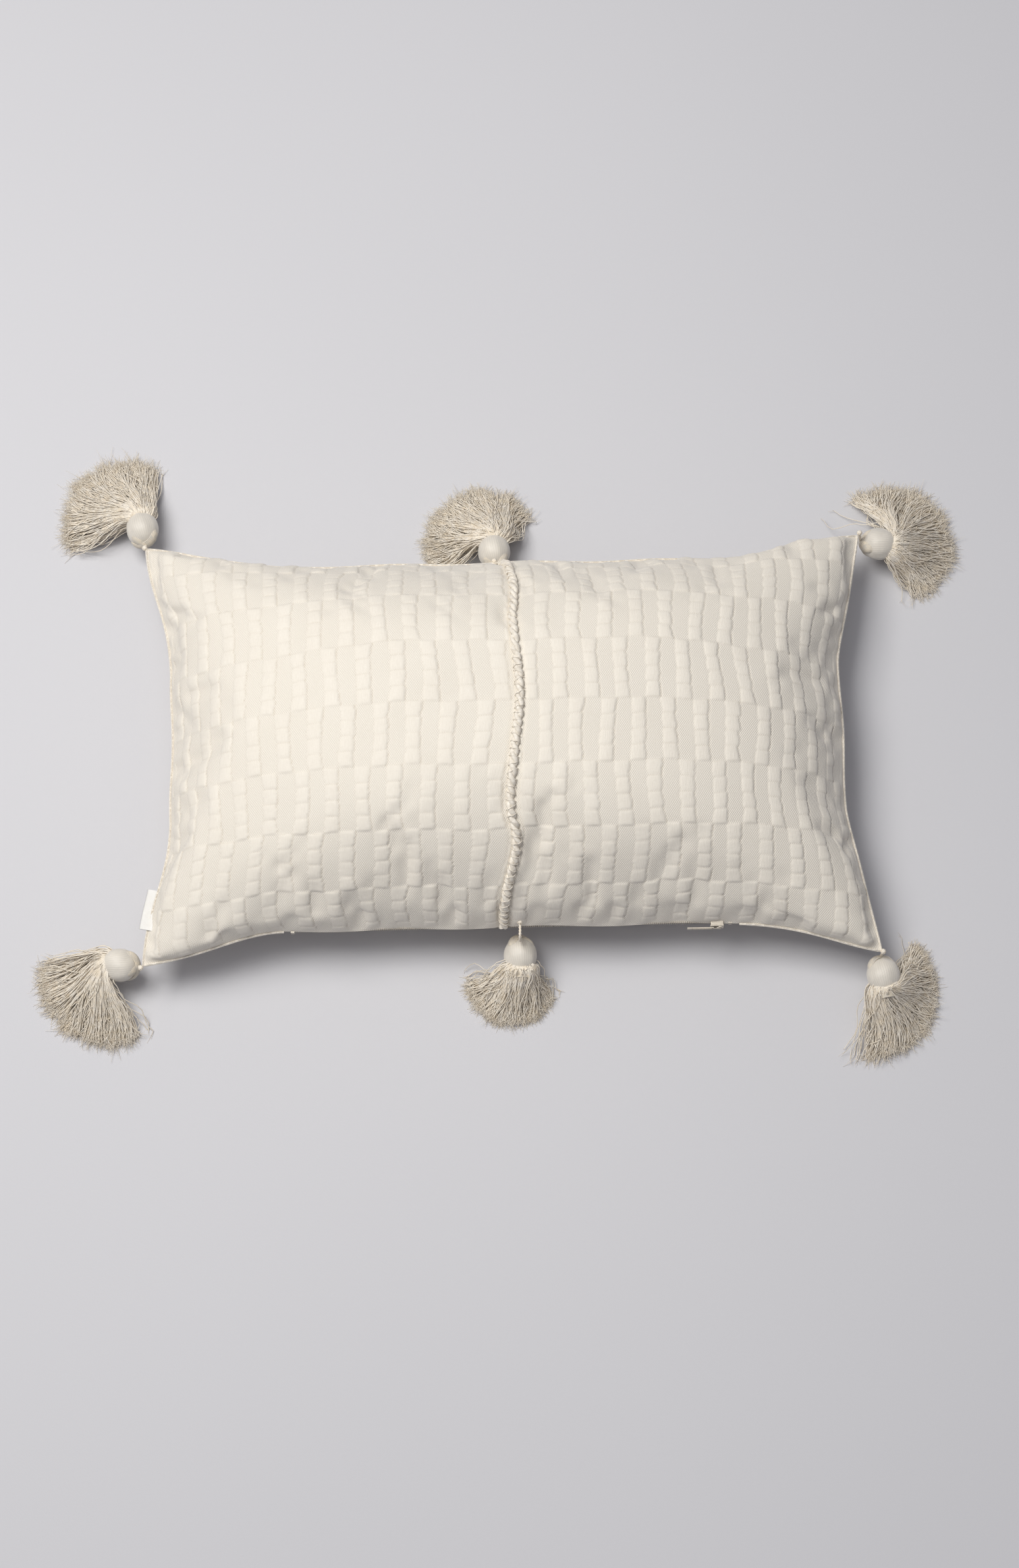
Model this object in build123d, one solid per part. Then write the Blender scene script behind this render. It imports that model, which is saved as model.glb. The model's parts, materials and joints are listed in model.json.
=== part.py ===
from build123d import *
import math
import os

# Throw pillow lying flat: +X along its length, +Y across it, +Z up.
# The origin is the centre of the flat patch that it rests on. Millimetres.

# ---- driving dimensions -------------------------------------------------
HALF_LENGTH = 228.5  # centre to the middle of a short side
HALF_WIDTH = 130.0  # centre to the middle of a long side
CORNER_REACH_X = 19.5  # how much further a corner tip stands out than the middle of its side
CORNER_REACH_Y = 19.0
SEAM_HEIGHT = 47.0  # of the edge seam at the middle of a side
CORNER_DROOP = 8.0  # how much lower the corner tips are
CROWN_RISE = 84.0  # pull of the upper skin above the seam
BELLY_DROP = 62.0  # pull of the lower skin below the seam
BELLY_LIMIT = -9.0  # the lower skin pulls no deeper than this, and the floor flattens it
FULLNESS = 0.42  # under 1 is a rounder, fuller section
SHORT_SIDE_BOW = 4  # powers: higher keeps a side straighter until near its corners
LONG_SIDE_BOW = 6
DROOP_BOW = 3
GRID_U = 13  # control points of a skin
GRID_V = 11
ROOM = (700.0, 500.0, 200.0)  # larger than the pillow, for cutting it

CLOTH = 1.6  # woven cover
COVER_HEM = 2.4  # cover thickness measured level at the edge seam
INSERT_GAP = 0.5
INSERT_EDGE = 12.0  # the insert stops short of the edge seam by this much
CASING = 0.8
CASING_HEM = 1.2
SKIN_STEP = 1.1  # control points move this much for each millimetre between two skins
HEM_STEP = 0.8
FLOOR_GAP = 0.3  # between the cover's floor and the casing's

ROPE_RADIUS = 3.2  # beads of the joining seam
ROPE_PITCH = 6.9
ROPE_SINK = 1.7  # bead centres stand this much above the cover
PANEL_GAP = ROPE_RADIUS + 0.1
WRAP_RADIUS = 0.45
WRAP_SLACK = 0.2
WRAP_LIFT = 0.25

STITCH_RADIUS = 0.45
STITCH_LENGTH = 4.0
STITCH_STAND = 0.7
STITCH_CLEARANCE = 6.0  # from the zip's ends and from the knots
STITCHES_LONG = 46
STITCHES_SHORT = 27

ZIP_LENGTH = 300.0
ZIP_HEIGHT = 46.0
ZIP_MOUTH = 4.0  # half the height of the slot in the edge seam
ZIP_Y = -129.2  # line of the coils
ZIP_SLOT_DEPTH = 28.4
ZIP_SLOT_OUT = 10.0  # the slot is centred this far outside the coils
ZIP_SLOT_PAST = 3.0
COIL_RADIUS = 0.95
COIL_SHORT = 2.0
TOUCH = 0.02  # gap between neighbouring zip pieces
TAPE = 0.6
TAPE_BESIDE_COIL = 0.35
TAPE_PART = 0.1  # each tape stops this far from the middle of the zip
TAPE_RUN = 8.6  # how far the tape reaches in behind its panel
TAPE_UPRIGHT = 1.6
TAPE_RISE = 5.4
TAPE_LEAN = 0.5
ROPE_ROOM = 30.0  # cut from the tape where the joining seam comes down to it
STOP_DEPTH = 1.6
STOP_HALF_HEIGHT = 2.2
STOP_LENGTH = 2.4
STOP_FROM_END = 3.0
SLIDER_LENGTH = 9.0
SLIDER_HALF_HEIGHT = 3.6
SLIDER_X = 138.0
SLIDER_FRONT = ZIP_Y - 2.6
SLIDER_PLATE_BACK = 1.4
FLANGE_BACK = 0.7
FLANGE_START = 2.3
LUG_INNER = 2.1
LUG_OUTER = 2.9
LUG_STAND = 2.0
LUG_LENGTH = 2.0
OVERLAP = 0.1  # of bars that become one solid
PIN_X = SLIDER_X + 2.0
PIN_STAND = 1.3
PIN_RADIUS = 0.5
PIN_LENGTH = 4.4
EYE_RADIUS = 1.1
EYE_BORE = 0.56
PULL_WIDTH = 3.6
PULL_THICK = 1.0
PULL_LENGTH = 22.0

LABEL_WIDTH = 28.0
LABEL_REACH = 8.0
LABEL_THICK = 0.9
LABEL_STAND = 0.9
LABEL_FOLD = 0.4  # of its thickness, rounded
LABEL_PLACE = 0.125  # along the left edge, from the lower corner

HEAD_RADIUS = 11.4
HEAD_LENGTH = 25.0
HEAD_HEIGHT = 25.0  # the heads hang clear of the floor, and the skirts slope down to it
CROWN_STAND = 1.8  # the cord ends this far off the head
CROWN_WRAP_PLACE = 10.4
CROWN_WRAP_RADIUS = 8.6
CROWN_WRAP_THICK = 1.2
NECK_TIE_PLACE = 14.2
NECK_TIE_RADIUS = 8.2
NECK_TIE_THICK = 1.1
NECK_RADIUS = 6.8
NECK_PLACE = 3.2
NECK_LENGTH = 6.0
TIE_ROOM = (9.6, 3.4)
HEAD_ROOM = 2.5
CORD_RADIUS = 1.1
CORD_STAND = 0.35
KNOT_RADIUS = 1.8
KNOT_STAND = 0.5
CORD_BEND = 3.5
ABOVE_ZIP_IN = 1.6  # the knot above the zip, measured from the edge seam
ABOVE_ZIP_UP = 7.2
ROUND_THE_ZIP = ((-137.5, 52.5), (-138.0, 41.0), (-131.5, 37.0))  # y and z of the cord that passes the slider
SKIRT_REACH = 62.0
SKIRT_FLOOR = 0.3
SKIRT_RIM = 5.5
SKIRT_SHOULDER = 19.0
SKIRT_ROOT = 9.0
SKIRT_HUB = 3.0  # the fan starts this far from the head's end
SKIRT_TOP = 9.0

# name: place on the edge, head centre, then three angles in degrees: the way that the head
# points, the way that its skirt fans and half the spread of the fan
TASSELS = {
    "top_left": ((-1, 1), (-253.0, 171.0), 102.0, 137.0, 58.0),
    "top_centre": ((0, 1), (-6.0, 148.5), 95.0, 112.0, 66.0),
    "top_right": ((1, 1), (265.0, 147.5), -5.0, 25.0, 70.0),
    "bottom_left": ((-1, -1), (-266.0, -145.0), 176.0, 228.0, 56.0),
    "bottom_centre": ((0, -1), (5.6, -145.0), 270.0, 262.0, 66.0),
    "bottom_right": ((1, -1), (250.5, -164.5), 277.0, 322.0, 70.0),
}


# ---- the pillow's skins -------------------------------------------------
def skin_point(u, v, side, drop, edge):
    """A control point of the upper (side 1) or lower (side -1) skin, u and v from -1 to 1."""
    half_x = HALF_LENGTH - edge + (CORNER_REACH_X - edge) * abs(v) ** SHORT_SIDE_BOW
    half_y = HALF_WIDTH - edge + (CORNER_REACH_Y - edge) * abs(u) ** LONG_SIDE_BOW
    to_corner = abs(u) ** LONG_SIDE_BOW * abs(v) ** DROOP_BOW
    seam_z = SEAM_HEIGHT - (CORNER_DROOP - HEM_STEP * edge) * to_corner
    swell = ((1 - u * u) * (1 - v * v)) ** FULLNESS
    if side > 0:
        z = seam_z + (CROWN_RISE - drop * SKIN_STEP) * swell
    else:
        z = seam_z - (BELLY_DROP - drop * SKIN_STEP) * swell
        z = max(z, BELLY_LIMIT + drop) if swell > 0 else z
    return Vector(u * half_x, v * half_y, z)


def steps(count):
    """Evenly spaced values from -1 to 1."""
    return [2 * i / (count - 1) - 1 for i in range(count)]


def skin_face(side, drop, edge):
    """One crowned skin as a single Bezier patch."""
    rows = [[skin_point(u, v, side, drop, edge) for v in steps(GRID_V)] for u in steps(GRID_U)]
    return Face.make_bezier_surface(rows)


def seam_edges(edge):
    """The four edges of a skin: bottom, top, left, right."""
    bottom = [skin_point(u, -1, 1, 0, edge) for u in steps(GRID_U)]
    top = [skin_point(u, 1, 1, 0, edge) for u in steps(GRID_U)]
    left = [skin_point(-1, v, 1, 0, edge) for v in steps(GRID_V)]
    right = [skin_point(1, v, 1, 0, edge) for v in steps(GRID_V)]
    return [Edge.make_bezier(*points) for points in (bottom, top, left, right)]


def closed_solid(faces):
    """A solid from faces that share their edges, turned the right way out."""
    solid = Solid(Shell(faces))
    return solid if solid.volume > 0 else Solid(Shell([-face for face in faces]))


def slab(low, high):
    """Everything of pillow size between two heights."""
    return Pos(0, 0, (low + high) / 2) * Box(ROOM[0], ROOM[1], high - low)


def lens(drop, edge, floor):
    """The closed pillow shape, flat underneath."""
    whole = closed_solid([skin_face(1, drop, edge), skin_face(-1, drop, edge)])
    return whole & slab(floor, ROOM[2])


def half_shell(side, outer, inner):
    """The layer between two skins on one side of the edge seam."""
    hems = [Face.make_surface_from_curves(a, b) for a, b in zip(seam_edges(outer[1]), seam_edges(inner[1]))]
    return closed_solid([skin_face(side, *outer), skin_face(side, *inner)] + hems)


def floored_shell(outer, inner, low, thick):
    """The layer below the seam, with a flat floor of its own."""
    walls = half_shell(-1, outer, inner) & slab(low + thick, ROOM[2])
    floor = lens(outer[0], outer[1], low) & slab(low, low + thick)
    return walls + floor


COVER_OUT = (0, 0)
COVER_IN = (CLOTH, COVER_HEM)
CASING_OUT = (CLOTH + INSERT_GAP, INSERT_EDGE)
CASING_IN = (CLOTH + INSERT_GAP + CASING, INSERT_EDGE + CASING_HEM)
CASING_FLOOR = CLOTH + FLOOR_GAP


def zip_slot():
    """The opening that the zip closes, along the lower long edge."""
    slot = Box(ZIP_LENGTH + 2 * ZIP_SLOT_PAST, ZIP_SLOT_DEPTH, 2 * ZIP_MOUTH)
    return Pos(0, ZIP_Y - ZIP_SLOT_OUT, ZIP_HEIGHT) * slot


def front_panels():
    front = half_shell(1, COVER_OUT, COVER_IN) - zip_slot()
    aside = Pos(PANEL_GAP + ROOM[0] / 2, 0, 0)
    left = front & aside.inverse() * Box(ROOM[0], ROOM[1], 2 * ROOM[2])
    right = front & aside * Box(ROOM[0], ROOM[1], 2 * ROOM[2])
    return left, right


def back_panel():
    return floored_shell(COVER_OUT, COVER_IN, 0, CLOTH) - zip_slot()


def insert_casing():
    front = half_shell(1, CASING_OUT, CASING_IN)
    back = floored_shell(CASING_OUT, CASING_IN, CASING_FLOOR, CASING)
    return front, back


def insert_fill():
    return lens(CASING_IN[0], CASING_IN[1], CASING_FLOOR + CASING)


# ---- joining seam down the middle of the front ---------------------------
def crown_curve():
    """The line over the top of the pillow at x = 0, from the lower edge to the upper one."""
    section = skin_face(1, 0, 0) & Plane.YZ
    return section.edges()[0]


def along(curve, count):
    """Point and direction at evenly spaced places along a curve, in order of y."""
    shares = [(i + 0.5) / count for i in range(count)]
    places = [(curve.position_at(share), curve.tangent_at(share)) for share in shares]
    return sorted(places, key=lambda place: (round(place[0].Y, 3), place[0].X))


def seam_rope():
    """A row of plump beads standing in the gap between the two panels."""
    curve = crown_curve()
    count = int(curve.length / ROPE_PITCH)
    beads = []
    for point, tangent in along(curve, count)[1:-1]:
        normal = Vector(0, -tangent.Z, tangent.Y) * math.copysign(1, tangent.Y)
        plane = Plane(point + normal * ROPE_SINK, x_dir=Vector(1, 0, 0), z_dir=tangent)
        beads.append(plane * Sphere(ROPE_RADIUS))
    return beads


def seam_wrapping():
    """Thin threads that straddle the rope from one panel to the other."""
    curve = crown_curve()
    count = int(curve.length / ROPE_PITCH)
    reach = ROPE_RADIUS + ROPE_SINK + WRAP_RADIUS + WRAP_SLACK
    threads = []
    for point, tangent in along(curve, count)[2:-2]:
        normal = Vector(0, -tangent.Z, tangent.Y) * math.copysign(1, tangent.Y)
        start = point + normal * (WRAP_RADIUS + WRAP_LIFT)
        aside = Vector(reach, 0, 0)
        path = ThreePointArc(start - aside, start + normal * reach, start + aside)
        section = Plane(start - aside, z_dir=normal) * Circle(WRAP_RADIUS)
        threads.append(sweep(section, path))
    return threads


# ---- edge seam ----------------------------------------------------------
def stitch(point, tangent, outward):
    """A short thread lying along the seam, just outside it."""
    centre = point + outward * (STITCH_RADIUS + STITCH_STAND)
    return Plane(centre, z_dir=tangent) * Cylinder(STITCH_RADIUS, STITCH_LENGTH)


def edge_stitches():
    """Running stitches that close the cover round its edge, except at the zip and the label."""
    label_point, _ = label_frame()
    knots = [knot_centre(name) for name in TASSELS]
    stitches = []
    counts = (STITCHES_LONG, STITCHES_LONG, STITCHES_SHORT, STITCHES_SHORT)
    outward = (Vector(0, -1, 0), Vector(0, 1, 0), Vector(-1, 0, 0), Vector(1, 0, 0))
    for curve, count, out in zip(seam_edges(0), counts, outward):
        for point, tangent in along(curve, count):
            beside_zip = out.Y < 0 and abs(point.X) < ZIP_LENGTH / 2 + STITCH_CLEARANCE
            beside_label = (point - label_point).length < LABEL_WIDTH / 2 + STITCH_LENGTH
            beside_knot = min((point - knot).length for knot in knots) < STITCH_CLEARANCE
            if beside_zip or beside_label or beside_knot:
                continue
            square = Vector(tangent.Y, -tangent.X, 0).normalized()
            square = square * math.copysign(1, square.dot(out))
            stitches.append(stitch(point, tangent, square))
    return stitches


# ---- zip ----------------------------------------------------------------
def zip_bar(low_y, high_y, low_z, high_z, length, centre_x=0):
    """A straight bar along the zip, its heights measured from the seam."""
    middle = Pos(centre_x, (low_y + high_y) / 2, ZIP_HEIGHT + (low_z + high_z) / 2)
    return middle * Box(length, high_y - low_y, high_z - low_z)


def zip_tape(side):
    """A woven tape: upright beside the coil, then turned in behind its panel."""
    y = ZIP_Y + COIL_RADIUS + TAPE_BESIDE_COIL
    outline = Polyline(
        (y, TAPE_PART * side),
        (y, TAPE_UPRIGHT * side),
        (y + TAPE_RUN, TAPE_RISE * side),
        (y + TAPE_RUN + TAPE, (TAPE_RISE - TAPE_LEAN) * side),
        (y + TAPE, (TAPE_UPRIGHT - TAPE / 2) * side),
        (y + TAPE, TAPE_PART * side),
        close=True,
    )
    start = Plane((-ZIP_LENGTH / 2, 0, ZIP_HEIGHT), x_dir=(0, 1, 0), z_dir=(1, 0, 0))
    tape = extrude(start * make_face(outline), ZIP_LENGTH)
    rope_room = Box(2 * PANEL_GAP + 2, ROPE_ROOM, ROPE_ROOM)
    under_rope = Pos(0, y + TAPE + ROPE_ROOM / 2, ZIP_HEIGHT + ROPE_ROOM / 2) * rope_room
    return tape - under_rope


def zip_coil(side):
    line = Plane((0, ZIP_Y, ZIP_HEIGHT + side * (COIL_RADIUS + TOUCH)), z_dir=(1, 0, 0))
    return line * Cylinder(COIL_RADIUS, ZIP_LENGTH - COIL_SHORT)


def zip_stop(side):
    back = ZIP_Y - COIL_RADIUS - TOUCH
    x = side * (ZIP_LENGTH / 2 - STOP_FROM_END)
    return zip_bar(ZIP_Y - STOP_DEPTH, back, -STOP_HALF_HEIGHT, STOP_HALF_HEIGHT, STOP_LENGTH, x)


def zip_slider():
    """Front plate, two flanges that hook round the coils, and the bridge that holds the pull."""
    high = SLIDER_HALF_HEIGHT
    plate_back = ZIP_Y - SLIDER_PLATE_BACK
    slider = zip_bar(SLIDER_FRONT, plate_back, -high, high, SLIDER_LENGTH, SLIDER_X)
    for side in (-1, 1):
        low, top = sorted((side * FLANGE_START, side * high))
        slider += zip_bar(plate_back - OVERLAP, ZIP_Y + FLANGE_BACK, low, top, SLIDER_LENGTH, SLIDER_X)
        low, top = sorted((side * LUG_INNER, side * LUG_OUTER))
        slider += zip_bar(SLIDER_FRONT - LUG_STAND, SLIDER_FRONT + OVERLAP, low, top, LUG_LENGTH, PIN_X)
    pin = Pos(PIN_X, SLIDER_FRONT - PIN_STAND, ZIP_HEIGHT) * Cylinder(PIN_RADIUS, PIN_LENGTH)
    return slider + pin


def zip_pull():
    """A flat tab with a round eye on the slider's pin."""
    y = SLIDER_FRONT - PIN_STAND
    eye = Pos(PIN_X, y, ZIP_HEIGHT) * Cylinder(EYE_RADIUS, PULL_WIDTH)
    tab = Box(PULL_LENGTH, PULL_THICK, PULL_WIDTH)
    tab = Pos(PIN_X - PULL_LENGTH / 2, y - PULL_THICK / 2, ZIP_HEIGHT) * tab
    hole = Pos(PIN_X, y, ZIP_HEIGHT) * Cylinder(EYE_BORE, 2 * PULL_WIDTH)
    return eye + tab - hole


# ---- label --------------------------------------------------------------
def label_frame():
    """Where the label leaves the left edge: its point, and the seam's direction there."""
    left = seam_edges(0)[2]
    point = left.position_at(LABEL_PLACE)
    tangent = left.tangent_at(LABEL_PLACE)
    return point, Vector(tangent.X, tangent.Y, 0).normalized()


def side_label():
    """A folded ribbon that stands out of the seam."""
    point, tangent = label_frame()
    outward = Vector(-tangent.Y, tangent.X, 0)
    centre = point + outward * (LABEL_REACH / 2 + LABEL_STAND)
    place = Plane(centre, x_dir=outward, z_dir=(0, 0, 1))
    ribbon = Box(LABEL_REACH, LABEL_WIDTH, LABEL_THICK)
    fold = ribbon.edges().filter_by(Axis.Y).group_by(Axis.X)[-1]
    return place * fillet(fold, LABEL_THICK * LABEL_FOLD)


# ---- tassels ------------------------------------------------------------
def heading(degrees):
    return Vector(math.cos(math.radians(degrees)), math.sin(math.radians(degrees)), 0)


def sewn_point(corner):
    """The edge seam's point at a corner (1 or -1 in u) or at the middle of a long side (0)."""
    u, v = corner
    curve = seam_edges(0)[0 if v < 0 else 1]
    return curve.position_at((u + 1) / 2)


def knot_centre(name):
    """Where the tassel is sewn on: at a corner tip, on the upper edge, or above the zip."""
    (u, v), head = TASSELS[name][:2]
    sewn = sewn_point((u, v))
    stand = KNOT_RADIUS + KNOT_STAND
    if u != 0:
        return sewn + Vector(u, v, 0).normalized() * stand
    if v > 0:
        return Vector(head[0], sewn.Y + stand, sewn.Z)
    return Vector(head[0], sewn.Y + ABOVE_ZIP_IN, sewn.Z + ABOVE_ZIP_UP)


def head_centre(name):
    head = TASSELS[name][1]
    return Vector(head[0], head[1], HEAD_HEIGHT)


def head_way(name):
    return heading(TASSELS[name][2])


def lift_way(name):
    """The way that the tassel swings out when it is lifted: between head and skirt."""
    return heading((TASSELS[name][2] + TASSELS[name][3]) / 2)


def crown_point(name):
    """Just off the pole of the head, where the cord is tied."""
    return head_centre(name) - head_way(name) * (HEAD_LENGTH / 2 + CROWN_STAND)


def tassel_head(name):
    """A ball of wound thread, a little longer than it is wide."""
    above_axis = Pos(0, HEAD_RADIUS) * Rectangle(2 * HEAD_LENGTH, 2 * HEAD_RADIUS)
    half = Ellipse(HEAD_LENGTH / 2, HEAD_RADIUS) & above_axis
    ball = revolve(half, Axis.X)
    return Plane(head_centre(name), x_dir=head_way(name), z_dir=(0, 0, 1)) * ball


def ring(name, along_head, radius, thickness):
    """A ring round the head's axis."""
    way = head_way(name)
    return Plane(head_centre(name) + way * along_head, z_dir=way) * Torus(radius, thickness)


def tassel_crown_wrap(name):
    return ring(name, -CROWN_WRAP_PLACE, CROWN_WRAP_RADIUS, CROWN_WRAP_THICK)


def tassel_neck_tie(name):
    return ring(name, NECK_TIE_PLACE, NECK_TIE_RADIUS, NECK_TIE_THICK)


def tassel_skirt(name):
    """A flattened fan of yarn that lies on the floor, with its neck in the tie."""
    degrees, spread = TASSELS[name][3:]
    way = head_way(name)
    centre = head_centre(name)
    apex = centre + way * (HEAD_LENGTH / 2)
    outline = Polyline(
        (SKIRT_HUB, HEAD_HEIGHT - SKIRT_ROOT),
        (SKIRT_REACH, SKIRT_FLOOR),
        (SKIRT_REACH, SKIRT_RIM),
        (SKIRT_REACH / 2, SKIRT_SHOULDER),
        (SKIRT_TOP, HEAD_HEIGHT + NECK_RADIUS),
        (SKIRT_HUB, HEAD_HEIGHT + NECK_RADIUS),
        close=True,
    )
    fan = revolve(Plane.XZ * make_face(outline), Axis.Z, 2 * spread)
    fan = Pos(apex.X, apex.Y, 0) * Rot(0, 0, degrees - spread) * fan
    head_room = Pos(*centre) * Sphere(HEAD_LENGTH / 2 + HEAD_ROOM)
    tie_room = Plane(centre + way * NECK_TIE_PLACE, z_dir=way) * Cylinder(*TIE_ROOM)
    neck = Plane(apex + way * NECK_PLACE, z_dir=way) * Cylinder(NECK_RADIUS, NECK_LENGTH)
    return fan - head_room - tie_room + neck


def tube(points, radius, bend):
    """A round cord along straight runs joined by arcs."""
    path = Line(*points) if len(points) == 2 else FilletPolyline(*points, radius=bend)
    section = Plane(path @ 0, z_dir=path % 0) * Circle(radius)
    return sweep(section, path)


def tassel_cord(name):
    """From just outside the knot to the pole of the head."""
    knot = knot_centre(name)
    points = [knot, crown_point(name)]
    if TASSELS[name][0] == (0, -1):
        points[1:1] = [Vector(knot.X, y, z) for y, z in ROUND_THE_ZIP]
    way = (points[1] - points[0]).normalized()
    points[0] = knot + way * (KNOT_RADIUS + CORD_STAND)
    return tube(points, CORD_RADIUS, CORD_BEND)


def tassel_knot(name):
    return Pos(*knot_centre(name)) * Sphere(KNOT_RADIUS)


# ---- write every piece --------------------------------------------------
def solids_of(shape):
    """One shape to write: a lone solid, or a group of separate ones."""
    if isinstance(shape, list):
        return Compound(children=[piece.solid() for piece in shape])
    found = shape.solids()
    return found[0] if len(found) == 1 else Compound(children=list(found))


def pieces():
    """Every node of the pillow by name."""
    left, right = front_panels()
    casing_front, casing_back = insert_casing()
    found = {
        "front_panel_left": left,
        "front_panel_right": right,
        "back_panel": back_panel(),
        "centre_seam_cord": seam_rope(),
        "centre_seam_wrapping": seam_wrapping(),
        "edge_seam_stitches": edge_stitches(),
        "zip_tape_front": zip_tape(1),
        "zip_tape_back": zip_tape(-1),
        "zip_coil_front": zip_coil(1),
        "zip_coil_back": zip_coil(-1),
        "zip_slider": zip_slider(),
        "zip_pull": zip_pull(),
        "zip_top_stop": zip_stop(1),
        "zip_bottom_stop": zip_stop(-1),
        "insert_casing_front": casing_front,
        "insert_casing_back": casing_back,
        "insert_fill": insert_fill(),
        "side_label": side_label(),
    }
    makers = {
        "knot": tassel_knot,
        "cord": tassel_cord,
        "head": tassel_head,
        "crown_wrap": tassel_crown_wrap,
        "neck_tie": tassel_neck_tie,
        "skirt": tassel_skirt,
    }
    for name in TASSELS:
        for part, maker in makers.items():
            found[f"tassel_{name}_{part}"] = maker(name)
    return found


def main():
    os.makedirs("parts", exist_ok=True)
    for name, shape in pieces().items():
        export_step(solids_of(shape), f"parts/{name}.step")


if __name__ == "__main__":
    main()
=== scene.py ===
import json
import math

import bmesh
import bpy
import numpy as np
from mathutils import Matrix, Vector


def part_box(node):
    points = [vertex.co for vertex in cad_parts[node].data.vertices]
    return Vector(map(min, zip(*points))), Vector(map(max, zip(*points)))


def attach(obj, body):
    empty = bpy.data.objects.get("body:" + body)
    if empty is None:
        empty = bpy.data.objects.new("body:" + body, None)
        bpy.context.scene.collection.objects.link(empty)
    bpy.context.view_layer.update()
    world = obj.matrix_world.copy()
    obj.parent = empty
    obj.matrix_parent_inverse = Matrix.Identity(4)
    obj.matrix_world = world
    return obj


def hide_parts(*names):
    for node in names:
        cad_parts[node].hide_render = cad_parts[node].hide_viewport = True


bl_info = {
    "name": "Tasselled woven pillow",
    "version": (1, 0, 0),
    "blender": (4, 5, 0),
    "location": "View3D > Sidebar > Pillow",
    "description": "Dresses the pillow's frame in woven cloth, stitching, a zip and tassels",
    "category": "Object",
}

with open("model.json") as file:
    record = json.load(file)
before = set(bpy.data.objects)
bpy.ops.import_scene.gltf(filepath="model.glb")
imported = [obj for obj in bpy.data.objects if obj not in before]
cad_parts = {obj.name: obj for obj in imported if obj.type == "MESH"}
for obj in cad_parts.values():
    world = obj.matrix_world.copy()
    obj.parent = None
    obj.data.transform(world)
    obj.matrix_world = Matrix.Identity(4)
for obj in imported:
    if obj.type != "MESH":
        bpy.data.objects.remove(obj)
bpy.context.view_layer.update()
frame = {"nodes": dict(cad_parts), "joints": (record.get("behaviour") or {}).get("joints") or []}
JOINTS = {joint["name"]: joint for joint in frame["joints"]}
KNOT_TOP_CENTRE = Vector(JOINTS["tassel_top_centre_lift"]["pos_m"])
COVER_LOW, COVER_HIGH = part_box("back_panel")
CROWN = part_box("front_panel_left")[1].z
RNG_SEED = 20


def joint_place(name):
    """Where a joint is, as a vector."""
    return Vector(JOINTS[name]["pos_m"])


# ---- settings -------------------------------------------------------------


def length(name, description, default):
    """A size in metres for the panel."""
    return bpy.props.FloatProperty(
        name=name, description=description, default=default, unit="LENGTH", precision=5, min=0.0
    )


def colour(name, description, default):
    """A colour for the panel."""
    return bpy.props.FloatVectorProperty(
        name=name, description=description, default=default, subtype="COLOR", size=3, min=0.0, max=1.0
    )


class PillowSizes(bpy.types.PropertyGroup):
    """Sizes of the cover, its weave and its trimmings."""

    corner_x: length("Corner reach X", "Centre to a corner tip along the length", COVER_HIGH.x)
    corner_y: length("Corner reach Y", "Centre to a corner tip across the width", COVER_HIGH.y)
    side_pull_x: length("Short side pull", "How far the short sides bow in", 0.0192)
    side_pull_y: length("Long side pull", "How far the long sides bow in", 0.0187)
    bulge: length("Bulge", "How far the cloth rolls out over the edge seam", 0.0125)
    seam_height: length("Seam height", "Height of the edge seam at mid side", KNOT_TOP_CENTRE.z)
    crown: length("Crown", "Height of the top of the cover", CROWN - 0.001)
    belly: length("Belly", "How far the back would swell below the seam without the floor", 0.062)
    cut_length: length("Cut length", "Flat length of the cover", 0.508)
    cut_width: length("Cut width", "Flat width of the cover", 0.305)
    column_pitch: length("Column pitch", "From one column of floats to the next", 0.0211)
    float_width: length("Float width", "Width of a block of floats", 0.0092)
    float_length: length("Float length", "Length of a block of floats", 0.0098)
    float_rise: length("Float rise", "How far a block of floats stands up", 0.00075)
    rope: length("Seam rope", "Radius of one ply of the joining seam", 0.0017)
    yarn: length("Skirt yarn", "Radius of a yarn in the tassel skirts", 0.00033)


class PillowColours(bpy.types.PropertyGroup):
    """Colours of the cloths and yarns."""

    cotton: colour("Cotton", "The woven cover", (0.85, 0.80, 0.712))
    cotton_shade: colour("Cotton shade", "Between the threads of the cover", (0.62, 0.555, 0.46))
    rope: colour("Rope", "The joining seam", (0.875, 0.82, 0.73))
    yarn: colour("Yarn", "The tassels' yarn", (0.86, 0.80, 0.705))
    yarn_shade: colour("Yarn shade", "Deep in the tassels", (0.78, 0.68, 0.53))
    satin: colour("Satin", "The wound heads of the tassels", (0.54, 0.505, 0.445))
    ribbon: colour("Ribbon", "The label", (0.77, 0.765, 0.74))
    zip: colour("Zip", "Tape, coil and slider", (0.70, 0.64, 0.54))
    lining: colour("Lining", "The insert's casing", (0.86, 0.86, 0.84))
    floor: colour("Floor", "The surface under the pillow", (0.635, 0.630, 0.650))


def sizes():
    return bpy.context.scene.pillow_sizes


def colours():
    return bpy.context.scene.pillow_colours


# ---- shader maths ---------------------------------------------------------


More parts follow.
